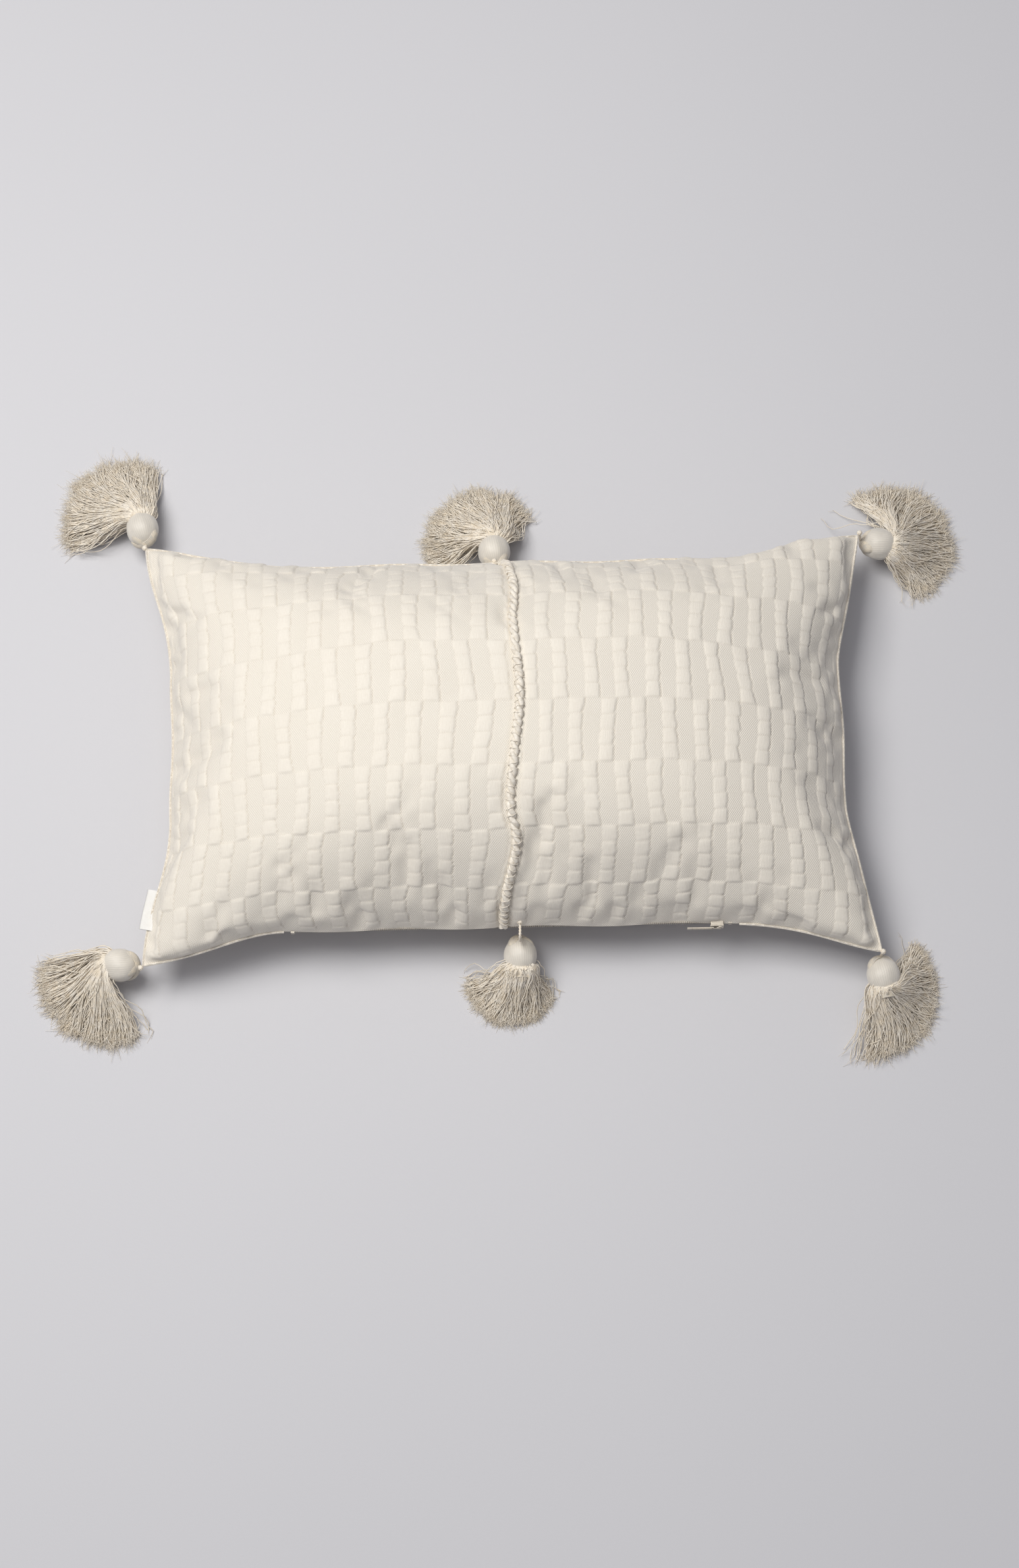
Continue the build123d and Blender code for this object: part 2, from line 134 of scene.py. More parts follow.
class Value:
    """A number in a shader. Arithmetic on it adds Math nodes."""

    def __init__(self, maker, socket):
        self.maker = maker
        self.socket = socket

    def math(self, operation, *others):
        return self.maker.node("ShaderNodeMath", {"operation": operation}, dict(enumerate((self, *others))))

    def __add__(self, other):
        return self.math("ADD", other)

    __radd__ = __add__

    def __sub__(self, other):
        return self.math("SUBTRACT", other)

    def __rsub__(self, other):
        return self.maker.node("ShaderNodeMath", {"operation": "SUBTRACT"}, {0: other, 1: self})

    def __mul__(self, other):
        return self.math("MULTIPLY", other)

    __rmul__ = __mul__

    def sine(self):
        return self.math("SINE")

    def clamp(self):
        return self.maker.node("ShaderNodeClamp", {}, {"Value": self})


class Maker:
    """Builds one material's nodes."""

    def __init__(self, name):
        self.material = bpy.data.materials.new(name)
        self.material.use_nodes = True
        self.tree = self.material.node_tree
        self.shader = self.tree.nodes["Principled BSDF"]

    def put(self, socket, value):
        if isinstance(value, Value):
            self.tree.links.new(value.socket, socket)
        elif isinstance(value, (tuple, list, bpy.types.bpy_prop_array)) or hasattr(value, "foreach_get"):
            socket.default_value = (*value, 1.0) if len(value) < len(socket.default_value) else value
        elif hasattr(value, "r"):
            socket.default_value = (value.r, value.g, value.b, 1.0)
        else:
            socket.default_value = value

    def node(self, kind, settings=None, inputs=None, output=0):
        made = self.tree.nodes.new(kind)
        for key, value in (settings or {}).items():
            setattr(made, key, value)
        for key, value in (inputs or {}).items():
            self.put(made.inputs[key], value)
        return Value(self, made.outputs[output])

    def place(self):
        return self.node("ShaderNodeTexCoord", output="Object")

    def uv(self):
        """The two numbers of the cloth's own UV map."""
        split = self.node("ShaderNodeUVMap", {"uv_map": "cloth"})
        parts = self.tree.nodes.new("ShaderNodeSeparateXYZ")
        self.put(parts.inputs[0], split)
        return Value(self, parts.outputs["X"]), Value(self, parts.outputs["Y"])

    def noise(self, scale, detail=2.0, vector=None):
        inputs = {"Vector": vector or self.place(), "Scale": scale, "Detail": detail}
        return self.node("ShaderNodeTexNoise", {}, inputs, "Fac")

    def attribute(self, name):
        return self.node("ShaderNodeAttribute", {"attribute_name": name}, output="Fac")

    def mix(self, factor, first, second):
        return self.node("ShaderNodeMix", {"data_type": "RGBA"}, {0: factor, 6: first, 7: second}, 2)

    def finish(self, base, roughness, bump=None, depth=0.0002, strength=0.6, **constants):
        self.put(self.shader.inputs["Base Color"], base)
        self.put(self.shader.inputs["Roughness"], roughness)
        if bump is not None:
            normal = self.node(
                "ShaderNodeBump", {}, {"Height": bump, "Distance": depth, "Strength": strength}, "Normal"
            )
            self.put(self.shader.inputs["Normal"], normal)
        for key, value in constants.items():
            self.shader.inputs[key.replace("_", " ")].default_value = value
        return self.material


WARP_PITCH = 0.00071
WEFT_PITCH = 0.00095
FLOAT_THREAD_PITCH = 0.00056
RIB_PITCH = 0.0005


def cover_cloth(name, floats):
    """Cotton in plain weave, with blocks of long floats where the cloth says so."""
    make = Maker(name)
    tint = colours()
    across, along = make.uv()
    wobble = make.noise(420.0) * 0.0006
    slub = make.noise(900.0, 1.0)
    warp = ((across + wobble) * (math.pi / WARP_PITCH)).sine()
    weft = ((along + wobble * 0.7) * (math.pi / WEFT_PITCH)).sine()
    grain = (warp * weft * (0.5 + slub * 1.1) * 1.15 + 0.36).clamp()
    mottle = make.noise(38.0, 3.0)
    if floats:
        stretched = make.node("ShaderNodeCombineXYZ", {}, {0: across * 2300.0, 1: along * 170.0})
        fibre = make.noise(1.0, 2.0, stretched)
        thread = ((across + wobble * 0.6) * (2 * math.pi / FLOAT_THREAD_PITCH)).sine() * 0.09 + fibre * 0.95
        lift = make.attribute("raised")
        height = grain * (1 - lift) + (thread * 1.1 + 0.3) * lift
        shade = (0.40 + grain * 0.60) * (1 - lift) + (0.40 + thread * 0.62) * lift
        # Painted shade: the tone is pulled toward the shade colour along the grooves and pinched ends of the
        # floats.
        shade = (shade - make.attribute("crease") * 0.6).clamp()
    else:
        height = grain
        shade = 0.15 + grain * 0.85
    tone = (shade * 0.80 + slub * 0.22 + mottle * 0.22).clamp()
    base = make.mix(tone, tint.cotton_shade, tint.cotton)
    return make.finish(
        base, 0.88 - slub * 0.1, height + slub * 0.35, 0.00028, 0.55, Sheen_Weight=0.25, Sheen_Roughness=0.45
    )


def spun_yarn(name, light, dark, scale=260.0, roughness=0.85, sheen=0.2):
    """Soft yarn whose colour drifts between locks, with a fibrous surface."""
    make = Maker(name)
    drift = make.noise(scale, 3.0)
    fine = make.noise(2600.0, 1.0)
    tone = ((drift - 0.5) * 2.1 + 0.62 + (fine - 0.5) * 0.5).clamp()
    base = make.mix(tone, dark, light)
    return make.finish(
        base, roughness - fine * 0.15, fine, 0.00012, 0.5, Sheen_Weight=sheen, Sheen_Roughness=0.4
    )


def satin_winding(name, light, dark):
    """Glossier thread laid side by side over a tassel's head."""
    make = Maker(name)
    around, down = make.uv()
    lay = (around * (2 * math.pi * WINDINGS) + down * 3.0).sine() * 0.5 + 0.5
    fine = (around * (2 * math.pi * HEAD_SEGMENTS) + down * 9.0).sine() * 0.5 + 0.5
    drift = make.noise(120.0, 2.0)
    tone = (lay * 0.16 + drift * 0.7 + fine * 0.2).clamp()
    base = make.mix(tone, dark, light)
    return make.finish(
        base, 0.5 - lay * 0.1, lay * 0.5 + fine * 0.5, 0.0002, 0.35, Sheen_Weight=0.3
    )


def ribbon_cloth(name, tint):
    """Close satin ribbon with a fine cross rib."""
    make = Maker(name)
    across, along = make.uv()
    rib = (along * (2 * math.pi / RIB_PITCH)).sine() * 0.5 + 0.5
    tone = (rib * 0.25 + make.noise(300.0) * 0.5 + 0.35).clamp()
    base = make.mix(tone, (0.62, 0.58, 0.52), tint)
    return make.finish(base, 0.42 + rib * 0.1, rib, 0.00005, 0.5, Sheen_Weight=0.3)


def tape_cloth(name, tint):
    """Woven zip tape."""
    make = Maker(name)
    spot = make.noise(1500.0, 1.0)
    base = make.mix(spot, (0.50, 0.44, 0.36), tint)
    return make.finish(base, 0.8, spot, 0.0001, 0.5)


def enamel(name, tint):
    """Satin enamel over metal, a little worn."""
    make = Maker(name)
    wear = make.noise(700.0, 3.0)
    base = make.mix(wear, (0.46, 0.41, 0.34), tint)
    return make.finish(base, 0.3 + wear * 0.2, wear, 0.00003, 0.4, Metallic=0.3)


def plain_lining(name, tint):
    """Close plain cotton of the insert."""
    make = Maker(name)
    weave = make.noise(1800.0, 2.0)
    base = make.mix(weave, (0.66, 0.66, 0.64), tint)
    return make.finish(base, 0.85, weave, 0.0001, 0.5)


def paper_floor(name, tint):
    """Pale matt paper with a faint tooth and slow changes of tone."""
    make = Maker(name)
    slow = make.noise(1.6, 1.0)
    tooth = make.noise(650.0, 3.0)
    base = make.mix((slow * 0.8 + tooth * 0.2).clamp(), [v * 0.94 for v in tint], tint)
    return make.finish(base, 0.9, tooth, 0.0002, 0.25)


# ---- shared modelling helpers ----------------------------------------------


def piece(name, mesh, material, body, slot, *replaced):
    """Links a finished mesh as a piece of the object."""
    ob = bpy.data.objects.new(name, mesh)
    bpy.context.scene.collection.objects.link(ob)
    mesh.materials.clear()
    mesh.materials.append(material)
    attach(ob, body)
    if replaced:
        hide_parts(*replaced)
    return ob


def mesh_from(bm, name):
    """The mesh of a finished bmesh."""
    mesh = bpy.data.meshes.new(name)
    bm.to_mesh(mesh)
    bm.free()
    return mesh


def smooth(mesh):
    mesh.polygons.foreach_set("use_smooth", [True] * len(mesh.polygons))
    mesh.update()
    return mesh


def cloth_mesh(name, table, uv=None, over=True, extra=None):
    """A grid of cloth whose points are given by a table of places, columns by rows."""
    across, along = table.shape[0] - 1, table.shape[1] - 1
    bm = bmesh.new()
    bmesh.ops.create_grid(bm, x_segments=across, y_segments=along, size=1.0)
    mesh = mesh_from(bm, name)
    flat = np.zeros(len(mesh.vertices) * 3, np.float32)
    mesh.vertices.foreach_get("co", flat)
    flat = flat.reshape(-1, 3)
    column = np.rint((flat[:, 0] + 1) / 2 * across).astype(int)
    row = np.rint((flat[:, 1] + 1) / 2 * along).astype(int)
    mesh.vertices.foreach_set("co", table[column, row].astype(np.float32).ravel())
    if uv is not None:
        corner = np.zeros(len(mesh.loops), np.int32)
        mesh.loops.foreach_get("vertex_index", corner)
        layer = mesh.uv_layers.new(name="cloth")
        layer.data.foreach_set("uv", uv[column, row][corner].astype(np.float32).ravel())
    for key, values in (extra or {}).items():
        made = mesh.attributes.new(key, "FLOAT", "POINT")
        made.data.foreach_set("value", values[column, row].astype(np.float32))
    if not over:
        mesh.flip_normals()
    return smooth(mesh)


def yarn_mesh(name, strands, radius, sides=2, closed=False):
    """Round yarns along curves. A strand is a list of places, or of places and thicknesses."""
    data = bpy.data.curves.new(name, "CURVE")
    data.dimensions = "3D"
    data.bevel_depth = radius
    data.bevel_resolution = sides
    data.resolution_u = 2
    data.use_fill_caps = True
    for strand in strands:
        places, thick = strand if isinstance(strand, tuple) else (strand, None)
        spline = data.splines.new("POLY")
        spline.points.add(len(places) - 1)
        full = np.ones((len(places), 4), np.float32)
        full[:, :3] = places
        spline.points.foreach_set("co", full.ravel())
        if thick is not None:
            spline.points.foreach_set("radius", np.asarray(thick, np.float32))
        spline.use_cyclic_u = closed
    ob = bpy.data.objects.new(name, data)
    bpy.context.scene.collection.objects.link(ob)
    bpy.context.view_layer.update()
    mesh = bpy.data.meshes.new_from_object(ob.evaluated_get(bpy.context.evaluated_depsgraph_get()))
    bpy.data.objects.remove(ob)
    bpy.data.curves.remove(data)
    mesh.name = name
    return smooth(mesh)


def unit(vectors):
    return vectors / np.linalg.norm(vectors, axis=-1, keepdims=True)


def catmull(table, factor):
    """Puts smooth extra points along the first side of a table."""
    count = len(table) - 1
    t = np.arange(count * factor + 1) / factor
    i = np.minimum(t.astype(int), count - 1)
    f = (t - i).reshape((-1,) + (1,) * (table.ndim - 1))
    a = table[np.maximum(i - 1, 0)]
    b = table[i]
    c = table[i + 1]
    d = table[np.minimum(i + 2, count)]
    return b + 0.5 * f * (c - a + f * (2 * a - 5 * b + 4 * c - d + f * (3 * (b - c) + d - a)))


def twisted(path, side, up, ply_radius, pitch, plies, swell=0.0, squash=1.0, seed=0):
    """The plies of a twisted cord that follows a path."""
    rng = np.random.RandomState(seed)
    run = np.concatenate([[0], np.cumsum(np.linalg.norm(np.diff(path, axis=0), axis=1))])
    drifting = np.interp(run, np.linspace(0, run[-1], 24), rng.uniform(-0.7, 0.7, 24))
    turn = 2 * math.pi * run / pitch + drifting
    made = []
    for ply in range(plies):
        angle = turn + 2 * math.pi * ply / plies
        offset = side * np.cos(angle)[:, None] + up * (np.sin(angle) * squash)[:, None]
        uneven = 1 + 0.08 * np.interp(run, np.linspace(0, run[-1], 40), rng.uniform(-1, 1, 40))
        thick = uneven * (1 - swell + swell * 2 * np.abs(np.sin(angle + 0.9)))
        made.append((path + offset * ply_radius, thick))
    return made


def frame_of(path):
    """A side and an up direction at each point of a path."""
    ahead = unit(np.gradient(path, axis=0))
    rough = np.array([0.0, 0.0, 1.0]) if abs(ahead[:, 2]).mean() < 0.8 else np.array([1.0, 0.0, 0.0])
    side = unit(np.cross(ahead, rough))
    return side, unit(np.cross(side, ahead))


# ---- the cover's shape -----------------------------------------------------

GRID_STEP = 0.0078
SIM_PRESSURE = 4.0
SIM_GROWTH = 0.018  # share by which the cloth grows under pressure
SIM_FRAMES = 20
SIM_CAP = 0.012  # the furthest that a point may move
SEAM_DRIFT = (
    (-1.0, -0.0055), (-0.78, -0.003), (-0.56, 0.0040),
    (-0.40, 0.0008), (-0.15, 0.0050), (0.05, 0.0085),
    (0.35, 0.0052), (0.62, 0.0058), (1.0, -0.0010),
)


def toward_corner(t, start):
    """0 along a side until start, then rising to 1 at its corner."""
    share = np.clip((np.abs(t) - start) / (1 - start), 0, 1)
    return 0.5 * share**1.2 + 0.5 * share * share * (3 - 2 * share)


def outline(u, v):
    """Place of the point u, v (each -1 to 1) in plan, and the height of the edge seam there."""
    s = sizes()
    x = u * (s.corner_x - s.side_pull_x * (1 - toward_corner(v, 0.35)))
    y = v * (s.corner_y - s.side_pull_y * (1 - toward_corner(u, 0.62)))
    droop = s.seam_height - (joint_place("tassel_top_left_lift").z - 0.0005)
    z = s.seam_height - droop * np.abs(u) ** 6 * np.abs(v) ** 3
    z = z + 0.0009 * np.sin(9 * u + 1) * np.sin(7 * v + 2)
    return x + 0.0007 * np.sin(11 * v + 1.3) * np.abs(u), y + 0.0007 * np.sin(17 * u + 0.4) * np.abs(v), z


def swell(t):
    """Fullness from the middle, 1, to the edge, 0."""
    return np.maximum(1 - np.abs(t) ** 2.9, 0) ** 0.74


def shoulder(t):
    """Where the cloth rolls out over the edge seam: 0 at the seam and in the middle, 1 between."""
    return np.exp(-(((np.abs(t) - 0.925) / 0.07) ** 2)) * (1 - np.abs(t) ** 16)


def skin_table(side, columns, rows):
    """One skin of the pillow before it is inflated."""
    s = sizes()
    u, v = np.meshgrid(np.linspace(-1, 1, columns + 1), np.linspace(-1, 1, rows + 1), indexing="ij")
    x, y, seam = outline(u, v)
    full = swell(u) * swell(v)
    bulge = s.bulge * (1.0 if side > 0 else 0.3)
    x = x + np.sign(u) * bulge * shoulder(u) * (1 - np.abs(v) ** 24)
    y = y + np.sign(v) * bulge * shoulder(v) * (1 - np.abs(u) ** 24)
    if side > 0:
        z = seam + (s.crown - 0.0035 - s.seam_height) * full
    else:
        z = seam - s.belly * full
    return np.stack([x, y, z], axis=-1)


def inflate(name, table, over):
    """Swells a skin with its hem held, by cloth simulation, and gives its new places."""
    scene = bpy.context.scene
    mesh = cloth_mesh(name, table, over=over)
    index = np.arange(table.shape[0] * table.shape[1]).reshape(table.shape[:2])
    order = np.zeros(len(mesh.vertices) * 3, np.float32)
    keyed = cloth_mesh(name + "_key", np.stack([index, index, index], axis=-1).astype(float))
    keyed.vertices.foreach_get("co", order)
    order = np.rint(order.reshape(-1, 3)[:, 0]).astype(int)
    bpy.data.meshes.remove(keyed)
    ob = bpy.data.objects.new(name, mesh)
    scene.collection.objects.link(ob)
    rim = np.zeros(table.shape[:2], bool)
    rim[0] = rim[-1] = True
    rim[:, 0] = rim[:, -1] = True
    hem = ob.vertex_groups.new(name="hem")
    hem.add([int(i) for i in np.nonzero(rim.ravel()[order])[0]], 1.0, "REPLACE")
    cloth = ob.modifiers.new("Cloth", "CLOTH")
    held = cloth.settings
    held.quality = 8
    held.tension_stiffness = held.compression_stiffness = 18
    held.shear_stiffness = 6
    held.bending_stiffness = 0.6
    held.air_damping = 4
    held.use_pressure = True
    held.uniform_pressure_force = SIM_PRESSURE
    held.effector_weights.gravity = 0
    held.shrink_min = -SIM_GROWTH
    held.vertex_group_mass = "hem"
    cloth.collision_settings.use_collision = False
    cloth.point_cache.frame_end = SIM_FRAMES
    for step in range(1, SIM_FRAMES + 1):
        scene.frame_set(step)
    done = ob.evaluated_get(bpy.context.evaluated_depsgraph_get()).to_mesh()
    co = np.zeros(len(done.vertices) * 3, np.float32)
    done.vertices.foreach_get("co", co)
    swollen = np.zeros((len(order), 3))
    swollen[order] = co.reshape(-1, 3)
    bpy.data.objects.remove(ob)
    bpy.data.meshes.remove(mesh)
    scene.frame_set(1)
    move = swollen.reshape(table.shape) - table
    far = np.linalg.norm(move, axis=-1, keepdims=True)
    return table + move * np.minimum(1.0, SIM_CAP / np.maximum(far, 1e-9))


def rest_on_floor(table, soft=0.002):
    """Flattens whatever would reach below the floor."""
    table = table.copy()
    z = table[..., 2]
    table[..., 2] = 0.5 * (z + np.sqrt(z * z + soft * soft)) - soft * 0.25
    table[..., 2] = np.maximum(table[..., 2], 0.0002)
    return table


def fabric(table):
    """How far each point is from the middle lines, measured along the cloth and fitted to its cut."""
    s = sizes()
    measured = []
    for axis, cut in ((0, s.cut_length), (1, s.cut_width)):
        steps = np.linalg.norm(np.diff(table, axis=axis), axis=-1)
        run = np.cumsum(steps, axis=axis)
        pad = [(1, 0), (0, 0)] if axis == 0 else [(0, 0), (1, 0)]
        run = np.pad(run, pad)
        middle = np.take(run, [run.shape[axis] // 2], axis=axis)
        run = run - middle
        low = -np.take(run, [0], axis=axis)
        high = np.take(run, [-1], axis=axis)
        measured.append(run * np.where(run < 0, cut / 2 / low, cut / 2 / high))
    return measured


class Skin:
    """A skin of the cover after it is inflated, which can be read by place in the cloth."""

    def __init__(self, side):
        s = sizes()
        columns = 2 * int(s.cut_length / GRID_STEP / 2)
        rows = 2 * int(s.cut_width / GRID_STEP / 2)
        name = "front_shape" if side > 0 else "back_shape"
        table = inflate(name, skin_table(side, columns, rows), side > 0)
        table = catmull(catmull(table, 5).swapaxes(0, 1), 5).swapaxes(0, 1)
        self.table = rest_on_floor(table) if side < 0 else table
        self.across, self.along = fabric(self.table)
        self.side = side

    def lay(self, across, along):
        """Places of cloth points: along is a list of rows, across one row of values for each."""
        columns = len(self.table)
        rows = np.zeros((columns, len(along), 4))
        for i in range(columns):
            for k in range(3):
                rows[i, :, k] = np.interp(along, self.along[i], self.table[i, :, k])
            rows[i, :, 3] = np.interp(along, self.along[i], self.across[i])
        laid = np.zeros((across.shape[1], len(along), 3))
        for j in range(len(along)):
            for k in range(3):
                laid[:, j, k] = np.interp(across[j], rows[:, j, 3], rows[:, j, k])
        return laid

    def normals(self, places):
        ahead = np.gradient(places, axis=0)
        aside = np.gradient(places, axis=1)
        return unit(np.cross(ahead, aside)) * self.side


SKINS = {}


def skin(side):
    if side not in SKINS:
        SKINS[side] = Skin(side)
    return SKINS[side]


def seam_drift(along):
    """How far the joining seam wanders from the middle at each row of the cloth."""
    points = catmull(np.array(SEAM_DRIFT), 8)
    return np.interp(along / (sizes().cut_width / 2), points[:, 0], points[:, 1])


# ---- the weave -------------------------------------------------------------


def fade(distance, start, end):
    t = np.clip((distance - start) / (end - start), 0, 1)
    return t * t * (3 - 2 * t)


def weave(across, along, seed, slip):
    """Height, block mask and painted shade of the blocks of floats, which step half a pitch every four rows.
    The painted shade darkens the groove down each block's right side, its left side less, and its pinched
    ends.
    """
    s = sizes()
    rng = np.random.RandomState(seed)
    a = across + 0.0009 * np.sin(along * 41 + 2.0 * np.sin(across * 23))
    a = a + 0.0006 * np.sin(across * 70 + along * 95)
    b = along + slip + 0.0008 * np.sin(across * 33 + 1.1) + 0.0005 * np.sin(across * 118 + along * 20)
    a = a + 0.00026 * rng.uniform(-1, 1, 4096)[np.floor(b / 0.0019).astype(int) % 4096]
    row = np.floor(b / s.float_length + 0.5).astype(int)
    band = np.floor(row / 4.0).astype(int)
    shift = (band % 2) * 0.5
    column = np.floor(a / s.column_pitch + shift).astype(int)
    lean = rng.uniform(-0.0006, 0.0006, (64, 64))[column % 64, band % 64]
    puff = rng.uniform(0.72, 1.2, (64, 64))[column % 64, row % 64]
    flare = rng.uniform(-0.16, 0.16, (64, 64))[column % 64, row % 64]
    fy = b / s.float_length + 0.5 - row - 0.5
    dx = (a / s.column_pitch + shift - column - 0.5) * s.column_pitch + lean * (1 + 2 * fy)
    through = (b / s.float_length + 0.5) / 4 - band
    ends = np.exp(-through * 4 / 0.3) + np.exp(-(1 - through) * 4 / 0.3)
    half = s.float_width / 2 * (0.93 + flare * fy + 0.11 * np.cos(math.pi * fy) + 0.20 * ends)
    t = dx / half
    inside = np.clip(1 - t**2, 0, 1)
    pinch = np.clip(1 - np.abs(2 * fy) ** 5, 0, 1) ** 0.6
    mask = fade(1 - np.abs(t), 0.0, 0.10) * (0.35 + 0.65 * pinch)
    round_top = inside**0.55 * (1 + 0.25 * t)
    height = s.float_rise * puff * round_top * (0.30 + 0.70 * pinch)
    right = np.exp(-(((t - 1.04) / 0.085) ** 2))
    left = np.exp(-(((t + 1.05) / 0.08) ** 2))
    deep = rng.uniform(0.45, 1.0, (64, 64))[column % 64, row % 64]
    # Painted shade: the colour is darkened along each block's right side as if lit from the left, a little
    # along its left side, and across the pinches at its ends.
    crease = right * (0.35 + 0.65 * deep) + left * 0.2
    tie = np.exp(-((np.abs(fy) - 0.5) / 0.045) ** 2) * (np.abs(t) < 1.05) * 0.38
    height = height - 0.00055 * right * deep - 0.00015 * left
    return height, mask, np.clip(crease + tie, 0, 1)


def hem_distance(across, along):
    """How far a cloth point is from the nearest edge of its panel's outer hem."""
    s = sizes()
    return np.minimum(s.cut_length / 2 - np.abs(across), s.cut_width / 2 - np.abs(along))


def puckers(across, along):
    """Small gathers that run in from the edge seam."""
    s = sizes()
    end = s.cut_length / 2 - np.abs(across)
    top = s.cut_width / 2 - np.abs(along)
    wave = np.sin(along * 330 + 2 * np.sin(along * 90)) * np.exp(-((end - 0.007) / 0.009) ** 2)
    wave += np.sin(across * 300 + 2 * np.sin(across * 71)) * np.exp(-((top - 0.006) / 0.008) ** 2)
    return 0.00045 * wave * fade(hem_distance(across, along), 0, 0.003)


# ---- operators -------------------------------------------------------------


PANEL_COLUMNS = 276
PANEL_ROWS = 340
PANEL_GAP = 0.0016  # from the joining seam to each panel's edge
ROPE_PITCH = 0.0135
FINE_THREAD = 0.00024  # radius
WELT = 0.0008  # radius
WELT_OUT = 0.0004
STITCH_RISE = 0.00095
COIL_PITCH = 0.0013
COIL_WIRE = 0.00022  # radius
LABEL_FLAT = (0.028, 0.020)
LABEL_REACH = 0.0099
LABEL_GAP = 0.0009  # between its two layers
BACK_ROWS, BACK_COLUMNS = 153, 255
ZIP_HALF = 0.1515  # half of the opening that the welt leaves for the zip


class PILLOW_OT_front(bpy.types.Operator):
    """Weave the two front panels with their columns of raised floats"""

    bl_idname = "pillow.front"
    bl_label = "Front Panels"

    def execute(self, context):
        s = sizes()
        shape = skin(1)
        cloth = cover_cloth("front_cotton", True)
        along = np.linspace(-s.cut_width / 2, s.cut_width / 2, PANEL_ROWS + 1)
        drift = seam_drift(along)
        for name, way, slip in (("left", -1, -0.0075), ("right", 1, -0.0081)):
            inner = drift + way * PANEL_GAP
            outer = np.full_like(along, way * s.cut_length / 2)
            low, high = (outer, inner) if way < 0 else (inner, outer)
            t = np.linspace(0, 1, PANEL_COLUMNS + 1)
            across = low[:, None] * (1 - t) + high[:, None] * t
            places = shape.lay(across, along)
            grid = across.T
            rows = np.broadcast_to(along, grid.shape)
            pattern = grid - drift * np.exp(-np.abs(grid) / 0.05)
            # The third value is painted shade for the grooves and pinches of the floats, kept as a point
            # attribute on the cloth.
            height, mask, crease = weave(pattern, rows, 3 + way, slip)
            edge = fade(hem_distance(grid, rows), 0.001, 0.008)
            beside = fade(np.abs(grid - drift), 0.0022, 0.0042)
            dip = -0.0007 * (1 - fade(np.abs(grid - drift), 0.002, 0.0065))
            lifted = height * edge * beside + dip + puckers(grid, rows)
            places = places + shape.normals(places) * lifted[..., None]
            uv = np.stack([pattern, rows], axis=-1)
            mesh = cloth_mesh(
                f"front_panel_{name}_cloth",
                places,
                uv,
                True,
                {"raised": mask * edge, "crease": crease * edge * beside},
            )
            ob = piece(mesh.name, mesh, cloth, "pillow", "woven_cotton", f"front_panel_{name}")
        return {"FINISHED"}


class PILLOW_OT_back(bpy.types.Operator):
    """Make the plain back panel"""

    bl_idname = "pillow.back"
    bl_label = "Back Panel"

    def execute(self, context):
        s = sizes()
        shape = skin(-1)
        along = np.linspace(-s.cut_width / 2, s.cut_width / 2, BACK_ROWS)
        across = np.linspace(-s.cut_length / 2, s.cut_length / 2, BACK_COLUMNS)
        across = np.broadcast_to(across, (BACK_ROWS, BACK_COLUMNS))
        places = shape.lay(across, along)
        grid = across.T
        rows = np.broadcast_to(along, grid.shape)
        places = places + shape.normals(places) * puckers(grid, rows)[..., None]
        places[..., 2] = np.maximum(places[..., 2], 0.0)
        uv = np.stack([grid, rows], axis=-1)
        mesh = cloth_mesh("back_panel_cloth", places, uv, False)
        ob = piece(mesh.name, mesh, cover_cloth("back_cotton", False), "pillow", "plain_cotton", "back_panel")
        return {"FINISHED"}


class PILLOW_OT_insert(bpy.types.Operator):
    """Fill the cover with its insert: a casing and its filling"""

    bl_idname = "pillow.insert"
    bl_label = "Insert"

    def execute(self, context):
        for name, share, slot, replaced in (
            ("insert_casing_cloth", 0.950, "insert_casing", ("insert_casing_front", "insert_casing_back")),
            ("insert_filling_mass", 0.935, "insert_filling", ("insert_fill",)),
        ):
            bm = bmesh.new()
            for side in (1, -1):
                table = skin(side).table[::5, ::5].copy()
                middle = np.array([0.0, 0.0, sizes().crown / 2])
                part = cloth_mesh(name, middle + (table - middle) * share, over=side > 0)
                bm.from_mesh(part)
                bpy.data.meshes.remove(part)
            bmesh.ops.remove_doubles(bm, verts=bm.verts, dist=0.0002)
            bmesh.ops.recalc_face_normals(bm, faces=bm.faces)
            mesh = mesh_from(bm, name)
            material = plain_lining(name + "_cotton", colours().lining)
            ob = piece(name, smooth(mesh), material, "pillow", slot, *replaced)
        return {"FINISHED"}


def seam_line(count):
    """Centre, sideways and upward directions along the joining seam."""
    s = sizes()
    along = np.linspace(-s.cut_width / 2 + 0.0005, s.cut_width / 2 - 0.0005, count)
    drift = seam_drift(along)
    across = drift[:, None] + np.array([-0.001, 0.0, 0.001])
    places = skin(1).lay(across, along)
    side = unit(places[2] - places[0])
    ahead = unit(np.gradient(places[1], axis=0))
    return along, places[1], side, unit(np.cross(side, ahead))


